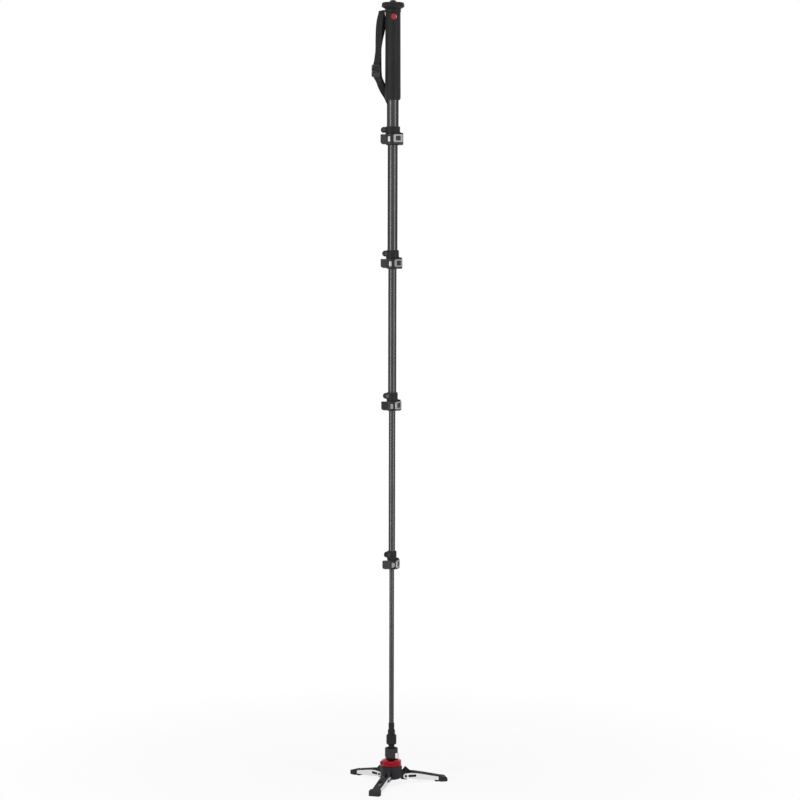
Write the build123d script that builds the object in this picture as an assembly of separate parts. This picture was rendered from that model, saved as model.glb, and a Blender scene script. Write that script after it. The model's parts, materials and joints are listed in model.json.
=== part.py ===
from build123d import *
import math
import os

# A five-section camera monopod with a small folding three-leg base.
# Lengths are millimetres and angles degrees. The origin is on the floor under the pole's axis,
# +Z runs up the pole, and -Y is the side that the clamp levers of section 1 face.
# Azimuths are measured from -Y towards +X.

# Column
tube_count = 5
first_tube_radius = 15.0
tube_wall = 1.5
tube_gap = 0.7
section_overlap = 60.0
exposed_length = 408.0
exposed_shares = {2: 0.6593, 3: 0.7843, 4: 0.8995, 5: 1.0}
bush_height = 12.0

# Fits between pieces
slide_clearance = 0.08
turning_clearance = 0.05
running_gap = 0.3

# Clamps
clamp_height = 48.0
clamp_turns = {1: 0.0, 2: 12.0, 3: 24.0, 4: 37.5}
first_lever_height = 26.0
lever_height_shares = {1: 1.0, 2: 0.9, 3: 0.885, 4: 0.87}
first_ear_reach = 4.0
ear_reach_shares = {1: 1.0, 2: 0.375, 3: 0.375, 4: 0.375}
collar_wall = 4.0
collar_edge = 1.4
tube_seat_depth = 1.0
lip_height = 1.8
lip_inset = 0.8
shim_wall = 1.2
band_wall = 2.9
band_slit = 1.5
shim_slit = 1.0
band_slit_azimuth = 104.0
lever_wall = 4.4
lever_sweep_azimuth = -78.0
block_azimuth = 36.0
block_reach = 5.0
block_depth = 5.0
hinge_azimuth = 80.0
hinge_reach = 4.5
hinge_barrel_radius = 4.2
hinge_pin_radius = 1.5
hinge_ear_radius = 3.4
hinge_ear_height = 3.4
gusset_height = 6.0
tab_reach = 31.5
tab_end_radius = 2.0
tab_root_radius = 2.6
tab_root_azimuth = -66.0
tab_end_azimuth = -87.0
tab_corner = 8.0
tab_top_corner = 2.5
frame_width = 27.8
frame_height = 19.6
frame_thickness = 2.2
frame_proud = 0.5
frame_corner = 2.4
frame_window_width = 15.4
frame_window_height = 12.4
frame_top_margin = 0.4
frame_window_corner = 1.2
pad_sunk = 0.5
bar_azimuth = -26.0
bar_width = 6.9
bar_height = 12.8
bar_drop = 12.3
bar_proud = 0.2
bar_surround = 2.0
bar_recess_depth = 2.0
strap_wall = 1.3
link_web_width = 3.4
link_web_inset = 2.4
link_strap_height = 9.0
pinch_azimuth = -88.0
pinch_drop = 8.9
pinch_ear_radius = 7.7
pinch_ear_length = 12.0
pinch_slit = 1.6
pinch_bolt_radius = 2.0
pinch_head_radius = 4.2
pinch_head_height = 3.0
pinch_head_proud = 0.6
pinch_socket_radius = 2.2
pinch_socket_depth = 2.0

# Head
grip_radius = 19.4
grip_low_radius = 20.2
grip_bottom_above_clamp = 67.5
grip_length = 222.0
grip_lip_height = 5.0
grip_lip_depth = 1.7
grip_top_radius = 1.5
ring_radius = 20.4
ring_height = 10.0
ring_edge = 1.0
plate_radius = 29.5
plate_top_radius = 28.0
plate_neck_radius = 22.5
plate_thickness = 15.5
plate_corner = 4.0
plate_rim_corner = 1.6
plate_bevel_height = 4.4
boss_radius = 8.0
boss_height = 4.5
boss_relief_gap = 0.4
boss_relief_depth = 1.2
screw_radius = 4.7625
shank_radius = 3.9
screw_length = 7.0
screw_chamfer = 0.8
screw_depth = 18.0
pad_outer_radius = 23.0
pad_inner_radius = 11.0
pad_depth = 1.2
pad_proud = 0.4
plug_height = 13.0
plug_flange_height = 1.5
badge_radius = 7.2
badge_azimuth = 7.5
badge_drop = 11.3
badge_thickness = 1.9
badge_proud = 0.4

# Wrist strap, measured from the strap ring's middle height
webbing_width = 17.0
webbing_thickness = 1.5
strap_arm_radius = 1.6
strap_arm_reach = 34.5
strap_arm_drop = 2.5
strap_arm_lift = -1.6
strap_arm_knob_radius = 2.2
strap_gap = 1.4
strap_start_reach = 22.4
strap_end_reach = 32.5
strap_joint_height = 8.0
strap_joint_reach = 39.6
buckle_width = 22.0
buckle_thickness = 3.2
buckle_rail = 2.6
buckle_top_bar = 4.0
buckle_middle_bar = 8.3
buckle_low_bar = 12.4
buckle_slot = 3.6
buckle_edge = 0.8
buckle_corner = 4.0
buckle_reach = 43.5
buckle_drop = 153.4

# Edges of the webbing above the buckle, as shares of the buckle's drop and reach
strap_drop_shares = (0.142, 0.303, 0.525, 0.808)
strap_left_reach_shares = (0.941, 1.009, 1.03, 1.087)
strap_right_reach_shares = (0.575, 0.629, 0.651, 0.701)
strap_back_reach_shares = (0.487, 0.522, 0.611, 0.682)

# The doubled webbing below the buckle, section by section
tail_width = 19.0
tail_thickness = 3.6
tail_reaches = (39.0, 35.6, 29.9, 23.0, 14.3, -6.0)
tail_depths = (0.0, 1.5, 6.0, 17.5, 23.5, 26.0)
tail_drops = (168.0, 176.0, 189.0, 203.7, 218.9, 236.0)
tail_slopes = (8.0, 19.0, 24.0, 29.0, 30.0, 40.0)

# Column end, ball and cup
fitting_radius = 7.6
fitting_height = 18.0
shoulder_radius = 9.5
shoulder_height = 13.2
shoulder_edge = 0.8
spigot_radius = 5.0
spigot_length = 9.0
block_radius = 13.3
block_height = 28.0
block_edge = 1.6
block_taper = 4.6
neck_radius = 7.6
neck_gap = 7.2
ball_radius = 10.5
liner_wall = 1.5
liner_lip_rise = 5.0
liner_hole_radius = 4.0
cup_radius = 16.9
cup_height = 27.2
cup_foot_radius = 14.4
cup_foot_height = 4.5
cup_lip_edge = 0.9
cup_mouth_radius = 14.6
cup_seat_rise = 6.5
cup_floor = 1.6
cup_spigot_radius = 8.0
cup_spigot_length = 6.0
button_azimuth = 62.0
button_width = 13.0
button_height = 14.6
button_rise = 8.2
button_thickness = 4.6
button_proud = 3.0
button_travel = 1.6
button_corner = 2.2
button_edge = 0.7
button_dimple_radius = 1.4
button_dimple_depth = 0.7

# Pan ring, hub and cover
hub_radius = 28.5
hub_bottom = 15.8
hub_height = 31.6
hub_edge = 2.0
hub_recess_radius = 26.3
hub_floor = 6.0
ring_pan_radius = 26.4
ring_pan_height = 13.9
ring_pan_dome = 5.4
ring_pan_edge = 1.0
ring_pan_seat = 14.8
pan_tab_reach = 3.4
pan_tab_width = 9.0
pan_tab_height = 9.5
pan_tab_azimuth = 279.0
cartridge_radius = 15.0
cartridge_neck_radius = 10.0
cartridge_neck_height = 8.0
cover_radius = 23.5
cover_height = 2.5
cover_edge = 0.8

# Legs, drawn along +X: reach is outwards from the pole's axis
leg_azimuths = {"front": -17.5, "right": 102.5, "left": 222.5}
pivot_reach = 37.0
pivot_height = 18.6
leg_pin_radius = 2.5
leg_pin_head_radius = 3.6
leg_pin_head_height = 1.0
leg_width = 20.0
leg_plate = 2.0
leg_eye_radius = 6.8
ear_inner_gap = 4.2
ear_thickness = 3.4
ear_eye_radius = 9.6
ear_recess_side_gap = 0.8
fin_root_reach = 31.0
fin_root_height = 33.0
fin_peak_reach = 39.2
fin_peak_height = 42.2
fin_foot_reach = 52.5
fin_foot_height = 29.5
low_fin_height = 29.8
plate_tip_reach = 125.5
frame_web_reach = 64.0
frame_web_thickness = 2.4
leg_slot_reach = 43.5
leg_slot_length = 22.0
leg_slot_height = 6.6
bridge_start_reach = 61.5
strip_slot_reach = 84.0
strip_slot_length = 28.0
strip_slot_width = 9.0
strip_edge = 1.2
foot_start_reach = 127.5
foot_length = 22.5
foot_width = 30.0
foot_height = 14.0
foot_corner = 6.5
foot_edge = 2.0
toe_height = 10.8
toe_corner = 7.0
heel_length = 8.0
heel_height = 3.6

# Heights of the leg's edges above the floor at named reaches, outwards from the pivot
leg_top_reaches = (52.0, 68.0, 86.0, 104.0, 122.0, 134.0, 140.0)
strip_top_heights = (30.1, 28.2, 24.6, 20.6, 16.9, 14.0, 12.2)
plate_top_heights = (26.1, 24.5, 21.1, 17.2, 13.5, 10.7, 9.3)
plate_low_heights = (10.3, 8.5, 6.9, 5.5, 4.3, 3.6, 3.2)

# Sizes worked out from the ones above
cut_over = 1.0
UP = (Align.CENTER, Align.CENTER, Align.MIN)

hub_top = hub_bottom + hub_height
pan_bottom = hub_top + running_gap
pan_top = pan_bottom + ring_pan_height + ring_pan_dome
cup_top = pan_top + cup_height
liner_radius = ball_radius + running_gap + liner_wall
cup_bore_radius = liner_radius + running_gap
ball_height = pan_top + cup_floor + cup_bore_radius
block_low = cup_top + neck_gap
block_top = block_low + block_height
shoulder_top = block_top + shoulder_height
fitting_top = shoulder_top + fitting_height


def tube_radius(section):
    """The outside radius of a tube; each one down is a wall and a gap smaller."""
    return first_tube_radius - (section - 1) * (tube_wall + tube_gap)


def stack_clamps():
    """The bottom height of each clamp, from the lowest exposed tube up."""
    bottoms = {}
    height = fitting_top
    for section in range(tube_count, 1, -1):
        height += exposed_length * exposed_shares[section]
        bottoms[section - 1] = height
        height += clamp_height
    return bottoms


clamp_bottoms = stack_clamps()
grip_bottom = clamp_bottoms[1] + clamp_height + grip_bottom_above_clamp
grip_top = grip_bottom + grip_length
ring_top = grip_top + ring_height
plate_top = ring_top + plate_thickness
ring_middle = grip_top + ring_height / 2


def at(azimuth, radius, height=0):
    """A point round the pole's axis."""
    direction = Vector(0, -radius, height).rotate(Axis.Z, azimuth)
    return direction


def placed(azimuth, shape):
    """Turns a shape drawn outwards along +X to an azimuth."""
    return Rot(0, 0, azimuth - 90) * shape


def sleeve(outer, inner, low, high):
    """A round sleeve between two heights."""
    height = high - low
    bore = Pos(0, 0, -cut_over) * Cylinder(inner, height + 2 * cut_over, align=UP)
    return Pos(0, 0, low) * (Cylinder(outer, height, align=UP) - bore)


def turned(points):
    """A solid of revolution about the pole's axis from (radius, height) points."""
    outline = Polyline(*[(radius, 0, height) for radius, height in points], close=True)
    return revolve(make_face(outline), Axis.Z)


def sector(inner, outer, start, end, low, high):
    """Part of a round wall between two azimuths."""
    middle = (start + end) / 2
    far = ThreePointArc(at(start, outer), at(middle, outer), at(end, outer))
    near = ThreePointArc(at(end, inner), at(middle, inner), at(start, inner))
    edges = [far, Line(far @ 1, near @ 0), near, Line(near @ 1, far @ 0)]
    return Pos(0, 0, low) * extrude(make_face(edges), high - low, dir=(0, 0, 1))


def slab(points, low, high):
    """A plate from (reach, height) points, between two sideways places, drawn along +X."""
    outline = Polyline(*[(reach, 0, height) for reach, height in points], close=True)
    return Pos(0, low, 0) * extrude(make_face(outline), high - low, dir=(0, 1, 0))


def rod(radius, low, high, reach, height):
    """A round rod that runs sideways (+Y) at a reach and a height, drawn along +X."""
    return Pos(reach, low, height) * Rot(-90, 0, 0) * Cylinder(radius, high - low, align=UP)


def bolt_along(azimuth, radius, length):
    """A rod centred on the origin that runs tangentially at an azimuth."""
    return Rot(0, 0, azimuth) * Rot(0, 90, 0) * Cylinder(radius, length)


def radial_block(azimuth, low_radius, high_radius, width, height, middle, corner):
    """A block with rounded corners that points outwards from the axis at an azimuth."""
    outline = RectangleRounded(width, height, corner)
    face = Plane(origin=(low_radius, 0, middle), x_dir=(0, 1, 0), z_dir=(1, 0, 0)) * outline
    return placed(azimuth, extrude(face, high_radius - low_radius))


# Tubes and their bushes


def tube_low(section):
    """A tube sits on the step in its clamp's casting, or in the end fitting."""
    if section == tube_count:
        return shoulder_top - shoulder_height / 2
    return clamp_bottoms[section] + band_height(section) + tube_seat_depth


def tube_high(section):
    """A tube reaches past the clamp above it by the overlap; tube 1 ends at the plate."""
    if section == 1:
        return ring_top - plug_flange_height
    return clamp_bottoms[section - 1] + section_overlap


def tube(section):
    radius = tube_radius(section)
    return sleeve(radius, radius - tube_wall, tube_low(section), tube_high(section))


def guide_bush(section):
    outer = tube_radius(section - 1) - tube_wall - slide_clearance
    high = tube_high(section)
    return sleeve(outer, tube_radius(section), high - bush_height, high)


# Clamps


def lever_height(number):
    return first_lever_height * lever_height_shares[number]


def ear_reach(number):
    return first_ear_reach * ear_reach_shares[number]


def band_height(number):
    """The lower part of a clamp, which the lever goes round."""
    return lip_height + lever_height(number) + 2 * running_gap


def lever_low(number):
    return clamp_bottoms[number] + lip_height + running_gap


def lever_high(number):
    return lever_low(number) + lever_height(number)


def band_bore(number):
    return tube_radius(number + 1) + turning_clearance + shim_wall + turning_clearance


def collar_radius(number):
    return tube_radius(number) + collar_wall


def band_radius(number):
    return band_bore(number) + band_wall


def lever_bore(number):
    return band_radius(number) + 2 * running_gap


def face_reach(number):
    """How far the lever's flat face stands from the pole's axis."""
    return collar_radius(number) + block_reach


def hinge_place(number, height=0):
    return at(hinge_azimuth, collar_radius(number) + hinge_reach, height)


def pinch_place(number):
    top = clamp_bottoms[number] + clamp_height
    return at(pinch_azimuth, collar_radius(number) + ear_reach(number), top - pinch_drop)


def hinge_ear(number, low, high):
    """An arm out to the hinge pin, rounded round it."""
    reach = collar_radius(number) + hinge_reach
    start = tube_radius(number)
    arm = Pos(start, 0, low) * Box(
        reach - start, 2 * hinge_ear_radius, high - low, align=(Align.MIN, Align.CENTER, Align.MIN)
    )
    eye = Pos(reach, 0, low) * Cylinder(hinge_ear_radius, high - low, align=UP)
    return placed(hinge_azimuth, arm + eye)


def hinge_gusset(number, low):
    """The wedge that carries the upper ear from the collar."""
    start = tube_radius(number)
    end = collar_radius(number) + hinge_reach / 2
    points = [(start, low), (end, low), (start, low + gusset_height)]
    return placed(hinge_azimuth, slab(points, -hinge_ear_radius, hinge_ear_radius))


def clamp_collar(number):
    """The split casting: bonded ring above, squeezed band below, with its two pairs of ears."""
    low = clamp_bottoms[number]
    high = low + clamp_height
    ring_low = low + band_height(number)
    outer = collar_radius(number)
    band = band_radius(number)
    bore = band_bore(number)
    seat = tube_radius(number)
    profile = [
        (bore, low),
        (band - lip_inset, low),
        (band, low + lip_inset),
        (band, ring_low),
        (outer, ring_low),
        (outer, high - collar_edge),
        (outer - collar_edge, high),
        (seat, high),
        (seat, ring_low + tube_seat_depth),
        (bore, ring_low + tube_seat_depth),
    ]
    body = turned(profile)
    ears = Pos(pinch_place(number)) * bolt_along(pinch_azimuth, pinch_ear_radius, pinch_ear_length)
    upper = hinge_ear(number, ring_low, ring_low + hinge_ear_height)
    lower = hinge_ear(number, low, low + lip_height)
    body += ears + upper + lower + hinge_gusset(number, ring_low + hinge_ear_height)
    body -= Pos(0, 0, ring_low + tube_seat_depth) * Cylinder(seat, clamp_height, align=UP)
    body -= Pos(0, 0, low - cut_over) * Cylinder(bore, clamp_height, align=UP)
    pinch_reach = collar_radius(number) + ear_reach(number) + pinch_ear_radius
    slit = Pos(0, 0, ring_low + 3 * tube_seat_depth / 2) * Box(
        pinch_reach + cut_over, pinch_slit, clamp_height, align=(Align.MIN, Align.CENTER, Align.MIN)
    )
    body -= placed(pinch_azimuth, slit)
    bolt = bolt_along(pinch_azimuth, pinch_bolt_radius + turning_clearance, 2 * pinch_ear_length)
    body -= Pos(pinch_place(number)) * bolt
    body -= pinch_head(number, pinch_head_radius + turning_clearance, pinch_ear_length)
    band_slot = Pos(0, 0, low - cut_over) * Box(
        band + cut_over, band_slit, band_height(number) + cut_over,
        align=(Align.MIN, Align.CENTER, Align.MIN),
    )
    body -= placed(band_slit_azimuth, band_slot)
    pin_hole = Pos(0, 0, low - cut_over) * Cylinder(
        hinge_pin_radius + turning_clearance, clamp_height, align=UP
    )
    return body - Pos(hinge_place(number)) * pin_hole


def pinch_head(number, radius, length):
    """A cylinder from the pinch bolt's head seat towards the front of the ears."""
    seat = pinch_ear_length / 2 - pinch_head_height + pinch_head_proud
    shape = Pos(0, 0, seat) * Cylinder(radius, length, align=UP)
    return Pos(pinch_place(number)) * Rot(0, 0, pinch_azimuth) * Rot(0, 90, 0) * shape


def pinch_bolt(number):
    """A socket-head bolt through both pinch ears."""
    bolt = pinch_head(number, pinch_head_radius, pinch_head_height)
    shaft = bolt_along(pinch_azimuth, pinch_bolt_radius, pinch_ear_length)
    bolt += Pos(pinch_place(number)) * shaft
    seat = pinch_ear_length / 2 + pinch_head_proud - pinch_socket_depth
    hexagon = extrude(RegularPolygon(pinch_socket_radius, 6), pinch_socket_depth)
    socket = Rot(0, 0, pinch_azimuth) * Rot(0, 90, 0) * Pos(0, 0, seat) * hexagon
    return bolt - Pos(pinch_place(number)) * socket


def clamp_shim(number):
    """The split liner that grips the inner tube."""
    inner = tube_radius(number + 1) + turning_clearance
    low = clamp_bottoms[number] + lip_height
    high = clamp_bottoms[number] + band_height(number)
    ring = sleeve(inner + shim_wall, inner, low, high)
    slot = Pos(0, 0, low) * Box(
        inner + 2 * shim_wall, shim_slit, high - low, align=(Align.MIN, Align.CENTER, Align.MIN)
    )
    return ring - placed(band_slit_azimuth, slot)


def hinge_pin(number):
    low = clamp_bottoms[number]
    high = low + band_height(number) + hinge_ear_height
    return Pos(hinge_place(number, low)) * Cylinder(hinge_pin_radius, high - low, align=UP)


def link_frame_plane(number, reach):
    """The plane of the lever's flat face, its origin at the silver frame's middle."""
    middle = lever_high(number) - frame_top_margin - frame_height / 2
    origin = at(block_azimuth, reach, middle)
    outwards = at(block_azimuth, 1)
    return Plane(origin=origin, x_dir=at(block_azimuth + 90, 1), z_dir=outwards)


def bar_middle(number):
    return lever_high(number) - bar_drop


def bar_sector(number, inner, outer, margin):
    """A patch of the lever's wall about the silver bar."""
    half_turn = math.degrees((bar_width / 2 + margin) / outer_lever(number))
    middle = bar_middle(number)
    half = bar_height / 2 + margin
    start, end = bar_azimuth - half_turn, bar_azimuth + half_turn
    return sector(inner, outer, start, end, middle - half, middle + half)


def outer_lever(number):
    return lever_bore(number) + lever_wall


def clamp_link(number):
    """The silver inlay: a frame on the flat face, a bar at the front and the strap between."""
    reach = face_reach(number)
    outline = RectangleRounded(frame_width, frame_height, frame_corner)
    outline -= RectangleRounded(frame_window_width, frame_window_height, frame_window_corner)
    plane = link_frame_plane(number, reach + frame_proud - frame_thickness)
    frame = extrude(plane * outline, frame_thickness)
    inner = lever_bore(number)
    middle = bar_middle(number)
    half = link_strap_height / 2
    strap = sector(inner, inner + strap_wall, bar_azimuth, block_azimuth, middle - half, middle + half)
    bar = bar_sector(number, inner, outer_lever(number) + bar_proud, 0)
    web_offset = frame_width / 2 - link_web_inset - link_web_width / 2
    web_face = Pos(-web_offset, middle - plane.origin.Z, 0) * Rectangle(link_web_width, link_strap_height)
    web = extrude(plane * web_face, -reach)
    web -= Pos(0, 0, lever_low(number)) * Cylinder(inner, clamp_height, align=UP)
    web = web & sector(inner, 2 * reach, bar_azimuth, block_azimuth, lever_low(number), lever_high(number))
    return frame + strap + bar + web


def lever_outline(number):
    """The lever's plan: the flat-faced block with its hinge barrel, as one convex outline."""
    reach = face_reach(number)
    outwards = at(block_azimuth, 1)
    across = at(block_azimuth + 90, 1)
    corners = [
        outwards * depth + across * side
        for depth, side in (
            (reach - block_depth, -frame_width / 2),
            (reach, -frame_width / 2),
            (reach, frame_width / 2),
            (reach - block_depth, frame_width / 2),
        )
    ]
    block = Polyline(*corners, close=True)
    barrel = Pos(hinge_place(number)) * Circle(hinge_barrel_radius)
    return make_hull(block.edges() + barrel.edges())


def lever_tab(number):
    """The finger tab at the lever's free end, with its rounded lower corner."""
    middle_radius = lever_bore(number) + lever_wall / 2
    root = Pos(at(tab_root_azimuth, middle_radius)) * Circle(tab_root_radius)
    end = Pos(at(tab_end_azimuth, tab_reach - tab_end_radius)) * Circle(tab_end_radius)
    low, high = lever_low(number), lever_high(number)
    blade = Pos(0, 0, low) * extrude(make_hull(root.edges() + end.edges()), high - low)
    across = at(tab_end_azimuth, 1)
    width = tab_reach
    plane = Plane(origin=(0, 0, low), x_dir=across, z_dir=across.cross(Vector(0, 0, 1)))
    outline = Polyline((0, 0), (width, 0), (width, high - low), (0, high - low), close=True)
    mask = make_face(outline)
    mask = fillet(mask.vertices().sort_by_distance((width, 0))[0], tab_corner)
    mask = fillet(mask.vertices().sort_by_distance((width, high - low))[0], tab_top_corner)
    return blade & extrude(plane * mask, width, both=True)


def clamp_lever(number):
    """The black flap that wraps the front of the clamp."""
    low, high = lever_low(number), lever_high(number)
    inner, outer = lever_bore(number), outer_lever(number)
    block = Pos(0, 0, low) * extrude(make_face(lever_outline(number)), high - low)
    wall = sector(inner, outer, lever_sweep_azimuth, block_azimuth, low, high)
    lever = block + wall + lever_tab(number)
    lever -= Pos(0, 0, low - cut_over) * Cylinder(inner, clamp_height, align=UP)
    hole = Pos(0, 0, low - cut_over) * Cylinder(
        hinge_pin_radius + turning_clearance, clamp_height, align=UP
    )
    lever -= Pos(hinge_place(number)) * hole
    lever -= bar_sector(number, outer - bar_recess_depth, outer + cut_over, bar_surround)
    plane = link_frame_plane(number, face_reach(number) - pad_sunk)
    window = RectangleRounded(frame_window_width, frame_window_height, frame_window_corner)
    lever -= extrude(plane * window, pad_sunk + cut_over)
    return lever - clamp_link(number)


# Head, grip and strap


def camera_screw():
    """The standard stud above the boss, and its shank down through the plate."""
    low = plate_top - screw_depth
    seat = plate_top + boss_height
    stud = Pos(0, 0, seat) * Cylinder(screw_radius, screw_length, align=UP)
    stud = chamfer(stud.edges().sort_by(Axis.Z)[-1], screw_chamfer)
    return stud + Pos(0, 0, low) * Cylinder(shank_radius, seat - low, align=UP)


def top_plate():
    """The plate swells to a rim below its top face and is bevelled in underneath."""
    rim = plate_top - plate_thickness + plate_bevel_height
    profile = [
        (shank_radius, ring_top),
        (plate_neck_radius, ring_top),
        (plate_radius, rim),
        (plate_top_radius, plate_top),
        (pad_outer_radius, plate_top),
        (pad_outer_radius, plate_top - pad_depth),
        (pad_inner_radius, plate_top - pad_depth),
        (pad_inner_radius, plate_top),
        (boss_radius, plate_top),
        (boss_radius, plate_top + boss_height),
        (screw_radius + boss_relief_gap, plate_top + boss_height),
        (shank_radius, plate_top + boss_height - boss_relief_depth),
    ]
    plate = turned(profile)
    rims = plate.edges().filter_by(GeomType.CIRCLE).sort_by(SortBy.RADIUS)
    plate = fillet(rims[-1], plate_rim_corner)
    rims = plate.edges().filter_by(GeomType.CIRCLE).filter_by_position(Axis.Z, rim, plate_top)
    return fillet(rims.group_by(Axis.Z)[-1].sort_by(SortBy.RADIUS)[-1], plate_corner)


def plate_pad():
    return sleeve(pad_outer_radius, pad_inner_radius, plate_top - pad_depth, plate_top + pad_proud)


def head_plug():
    """Bonded in the tube's top; the plate stands on its flange."""
    inner = tube_radius(1) - tube_wall
    low = ring_top - plug_flange_height
    flange = sleeve(tube_radius(1), shank_radius, low, ring_top)
    return flange + sleeve(inner, shank_radius, low - plug_height, low)


def strap_ring():
    """The collar with the sloping arm that the strap hangs from."""
    ring = Pos(0, 0, grip_top) * Cylinder(ring_radius, ring_height, align=UP)
    ring = chamfer(ring.edges().filter_by(GeomType.CIRCLE), ring_edge)
    arm = Line(arm_point(ring_radius - 2 * strap_arm_radius), arm_point(strap_arm_reach))
    wire = Plane(origin=arm @ 0, z_dir=arm % 0) * Circle(strap_arm_radius)
    ring += sweep(wire, path=arm)
    ring += Pos(arm_point(strap_arm_reach)) * Sphere(strap_arm_knob_radius)
    bore = Pos(0, 0, grip_top - cut_over) * Cylinder(tube_radius(1), ring_height + 2 * cut_over, align=UP)
    return ring - bore


def strap_lift(reach):
    """The arm's height over the ring's middle at a reach: it slopes down outwards."""
    slope = strap_arm_drop / (strap_arm_reach - ring_radius)
    return strap_arm_lift + (ring_radius - reach) * slope


def arm_point(reach):
    return Vector(-reach, 0, ring_middle + strap_lift(reach))


def bend_point(reach):
    """The webbing's bend hangs on the arm, so its middle is below the arm's."""
    return arm_point(reach) - Vector(0, 0, strap_gap - running_gap)


def webbing_layer(left, right, bottom, near, far):
    """One flat layer of webbing, seen from the front, between two depths."""
    start, end = bend_point(strap_start_reach), bend_point(strap_end_reach)
    points = [(end.X, 0, end.Z), *left, *bottom, *right, (start.X, 0, start.Z)]
    outline = Polyline(*points, close=True)
    return Pos(0, near, 0) * extrude(make_face(outline), far - near, dir=(0, 1, 0))


def wrist_strap():
    """Two layers of webbing from the arm to the buckle, then the doubled tail behind the tube."""
    inner = strap_arm_radius + strap_gap
    outer = inner + webbing_thickness
    joint_top = ring_middle - buckle_drop + strap_joint_height / 2
    middle = strap_joint_reach
    low_left = (-middle - webbing_width / 2, 0, joint_top)
    low_right = (-middle + webbing_width / 2, 0, joint_top)
    front_left = edge_points(strap_left_reach_shares)
    front_right = edge_points(strap_right_reach_shares)[::-1]
    front = webbing_layer(front_left, front_right, [low_left, low_right], -outer, -inner)
    back_right = edge_points(strap_back_reach_shares)[::-1]
    back = webbing_layer(front_left, back_right, [low_left, low_right], inner, outer)
    bend = bend_block(outer) - bend_block(inner)
    strap = front + back + bend
    sections = [tail_section(index) for index in range(len(tail_reaches))]
    joint_low = sections[0].center().Z
    joint = Pos(-middle, 0, joint_low) * Box(
        webbing_width, 2 * outer, joint_top - joint_low, align=UP
    )
    return strap + joint + loft(sections, ruled=True)


def bend_block(reach):
    """The space up to a distance from the arm, above its middle line."""
    start, end = bend_point(strap_start_reach), bend_point(strap_end_reach)
    outline = Polyline(start, end, end + Vector(0, 0, reach), start + Vector(0, 0, reach), close=True)
    return Pos(0, -reach, 0) * extrude(make_face(outline), 2 * reach, dir=(0, 1, 0))

def edge_points(reach_shares):
    """Points down one edge of the webbing, as shares of the buckle's reach and drop."""
    return [
        (-buckle_reach * reach, 0, ring_middle - buckle_drop * drop)
        for reach, drop in zip(reach_shares, strap_drop_shares)
    ]


def tail_section(index):
    """One cross-section of the doubled webbing below the buckle."""
    origin = (-tail_reaches[index], tail_depths[index], ring_middle - tail_drops[index])
    slope = Vector(1, 0, 0).rotate(Axis.Y, -tail_slopes[index])
    plane = Plane(origin=origin, x_dir=slope, z_dir=Vector(0, -1, 0).cross(slope))
    return plane * Rectangle(tail_width, tail_thickness)


def strap_buckle():
    """The three-bar slide, just in front of the webbing."""
    height = buckle_top_bar + buckle_middle_bar + buckle_low_bar + 2 * buckle_slot
    slot_top = height / 2 - buckle_top_bar
    slot = Rectangle(buckle_width - 2 * buckle_rail, buckle_slot, align=(Align.CENTER, Align.MAX))
    outline = RectangleRounded(buckle_width, height, buckle_corner)
    outline -= Pos(0, slot_top) * slot
    outline -= Pos(0, slot_top - buckle_slot - buckle_middle_bar) * slot
    near = -(strap_arm_radius + strap_gap + webbing_thickness) - running_gap
    place = (-buckle_reach, near, ring_middle - buckle_drop)
    plane = Plane(origin=place, x_dir=(1, 0, 0), z_dir=(0, -1, 0))
    buckle = extrude(plane * outline, buckle_thickness)
    return chamfer(buckle.faces().sort_by(Axis.Y)[0].edges(), buckle_edge)


def badge_pocket(inner, outer):
    """A round patch of the grip's wall, pointing outwards."""
    core = Rot(0, 90, 0) * Cylinder(badge_radius, outer + cut_over, align=UP)
    height = grip_top - badge_drop
    patch = Pos(0, 0, height) * placed(badge_azimuth, core)
    return patch & sleeve(outer, inner, height - 2 * badge_radius, height + 2 * badge_radius)


def grip_sleeve():
    """The sleeve, rounded at its top and bevelled at its lower lip."""
    profile = [
        (tube_radius(1), grip_bottom),
        (grip_low_radius - grip_lip_depth, grip_bottom),
        (grip_low_radius, grip_bottom + grip_lip_height),
        (grip_radius, grip_top),
        (tube_radius(1), grip_top),
    ]
    body = turned(profile)
    rims = body.edges().filter_by(GeomType.CIRCLE).group_by(Axis.Z)[-1]
    body = fillet(rims.sort_by(SortBy.RADIUS)[-1], grip_top_radius)
    inner = grip_radius - badge_thickness + badge_proud
    return body - badge_pocket(inner, grip_radius + cut_over)


def grip_badge():
    return badge_pocket(grip_radius - badge_thickness + badge_proud, grip_radius + badge_proud)


# Column end, ball and cup


def tube_end_fitting():
    """The stepped sleeve bonded on tube 5, with the spigot that goes into the block."""
    radius = tube_radius(tube_count)
    seat = tube_low(tube_count)
    profile = [
        (0, block_top - spigot_length),
        (spigot_radius, block_top - spigot_length),
        (spigot_radius, block_top),
        (shoulder_radius, block_top),
        (shoulder_radius, shoulder_top - shoulder_edge),
        (shoulder_radius - shoulder_edge, shoulder_top),
        (fitting_radius, shoulder_top),
        (fitting_radius, fitting_top),
        (radius, fitting_top),
        (radius, seat),
        (0, seat),
    ]
    return turned(profile)


def column_block():
    """The round block over the ball's neck, tapered to it underneath."""
    stem_top = (block_low + block_top - spigot_length) / 2
    profile = [
        (0, stem_top),
        (spigot_radius, stem_top),
        (spigot_radius, block_low),
        (neck_radius, block_low),
        (block_radius, block_low + block_taper),
        (block_radius, block_top - block_edge),
        (block_radius - block_edge, block_top),
        (spigot_radius, block_top),
        (spigot_radius, block_top - spigot_length),
        (0, block_top - spigot_length),
    ]
    return turned(profile)


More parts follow.
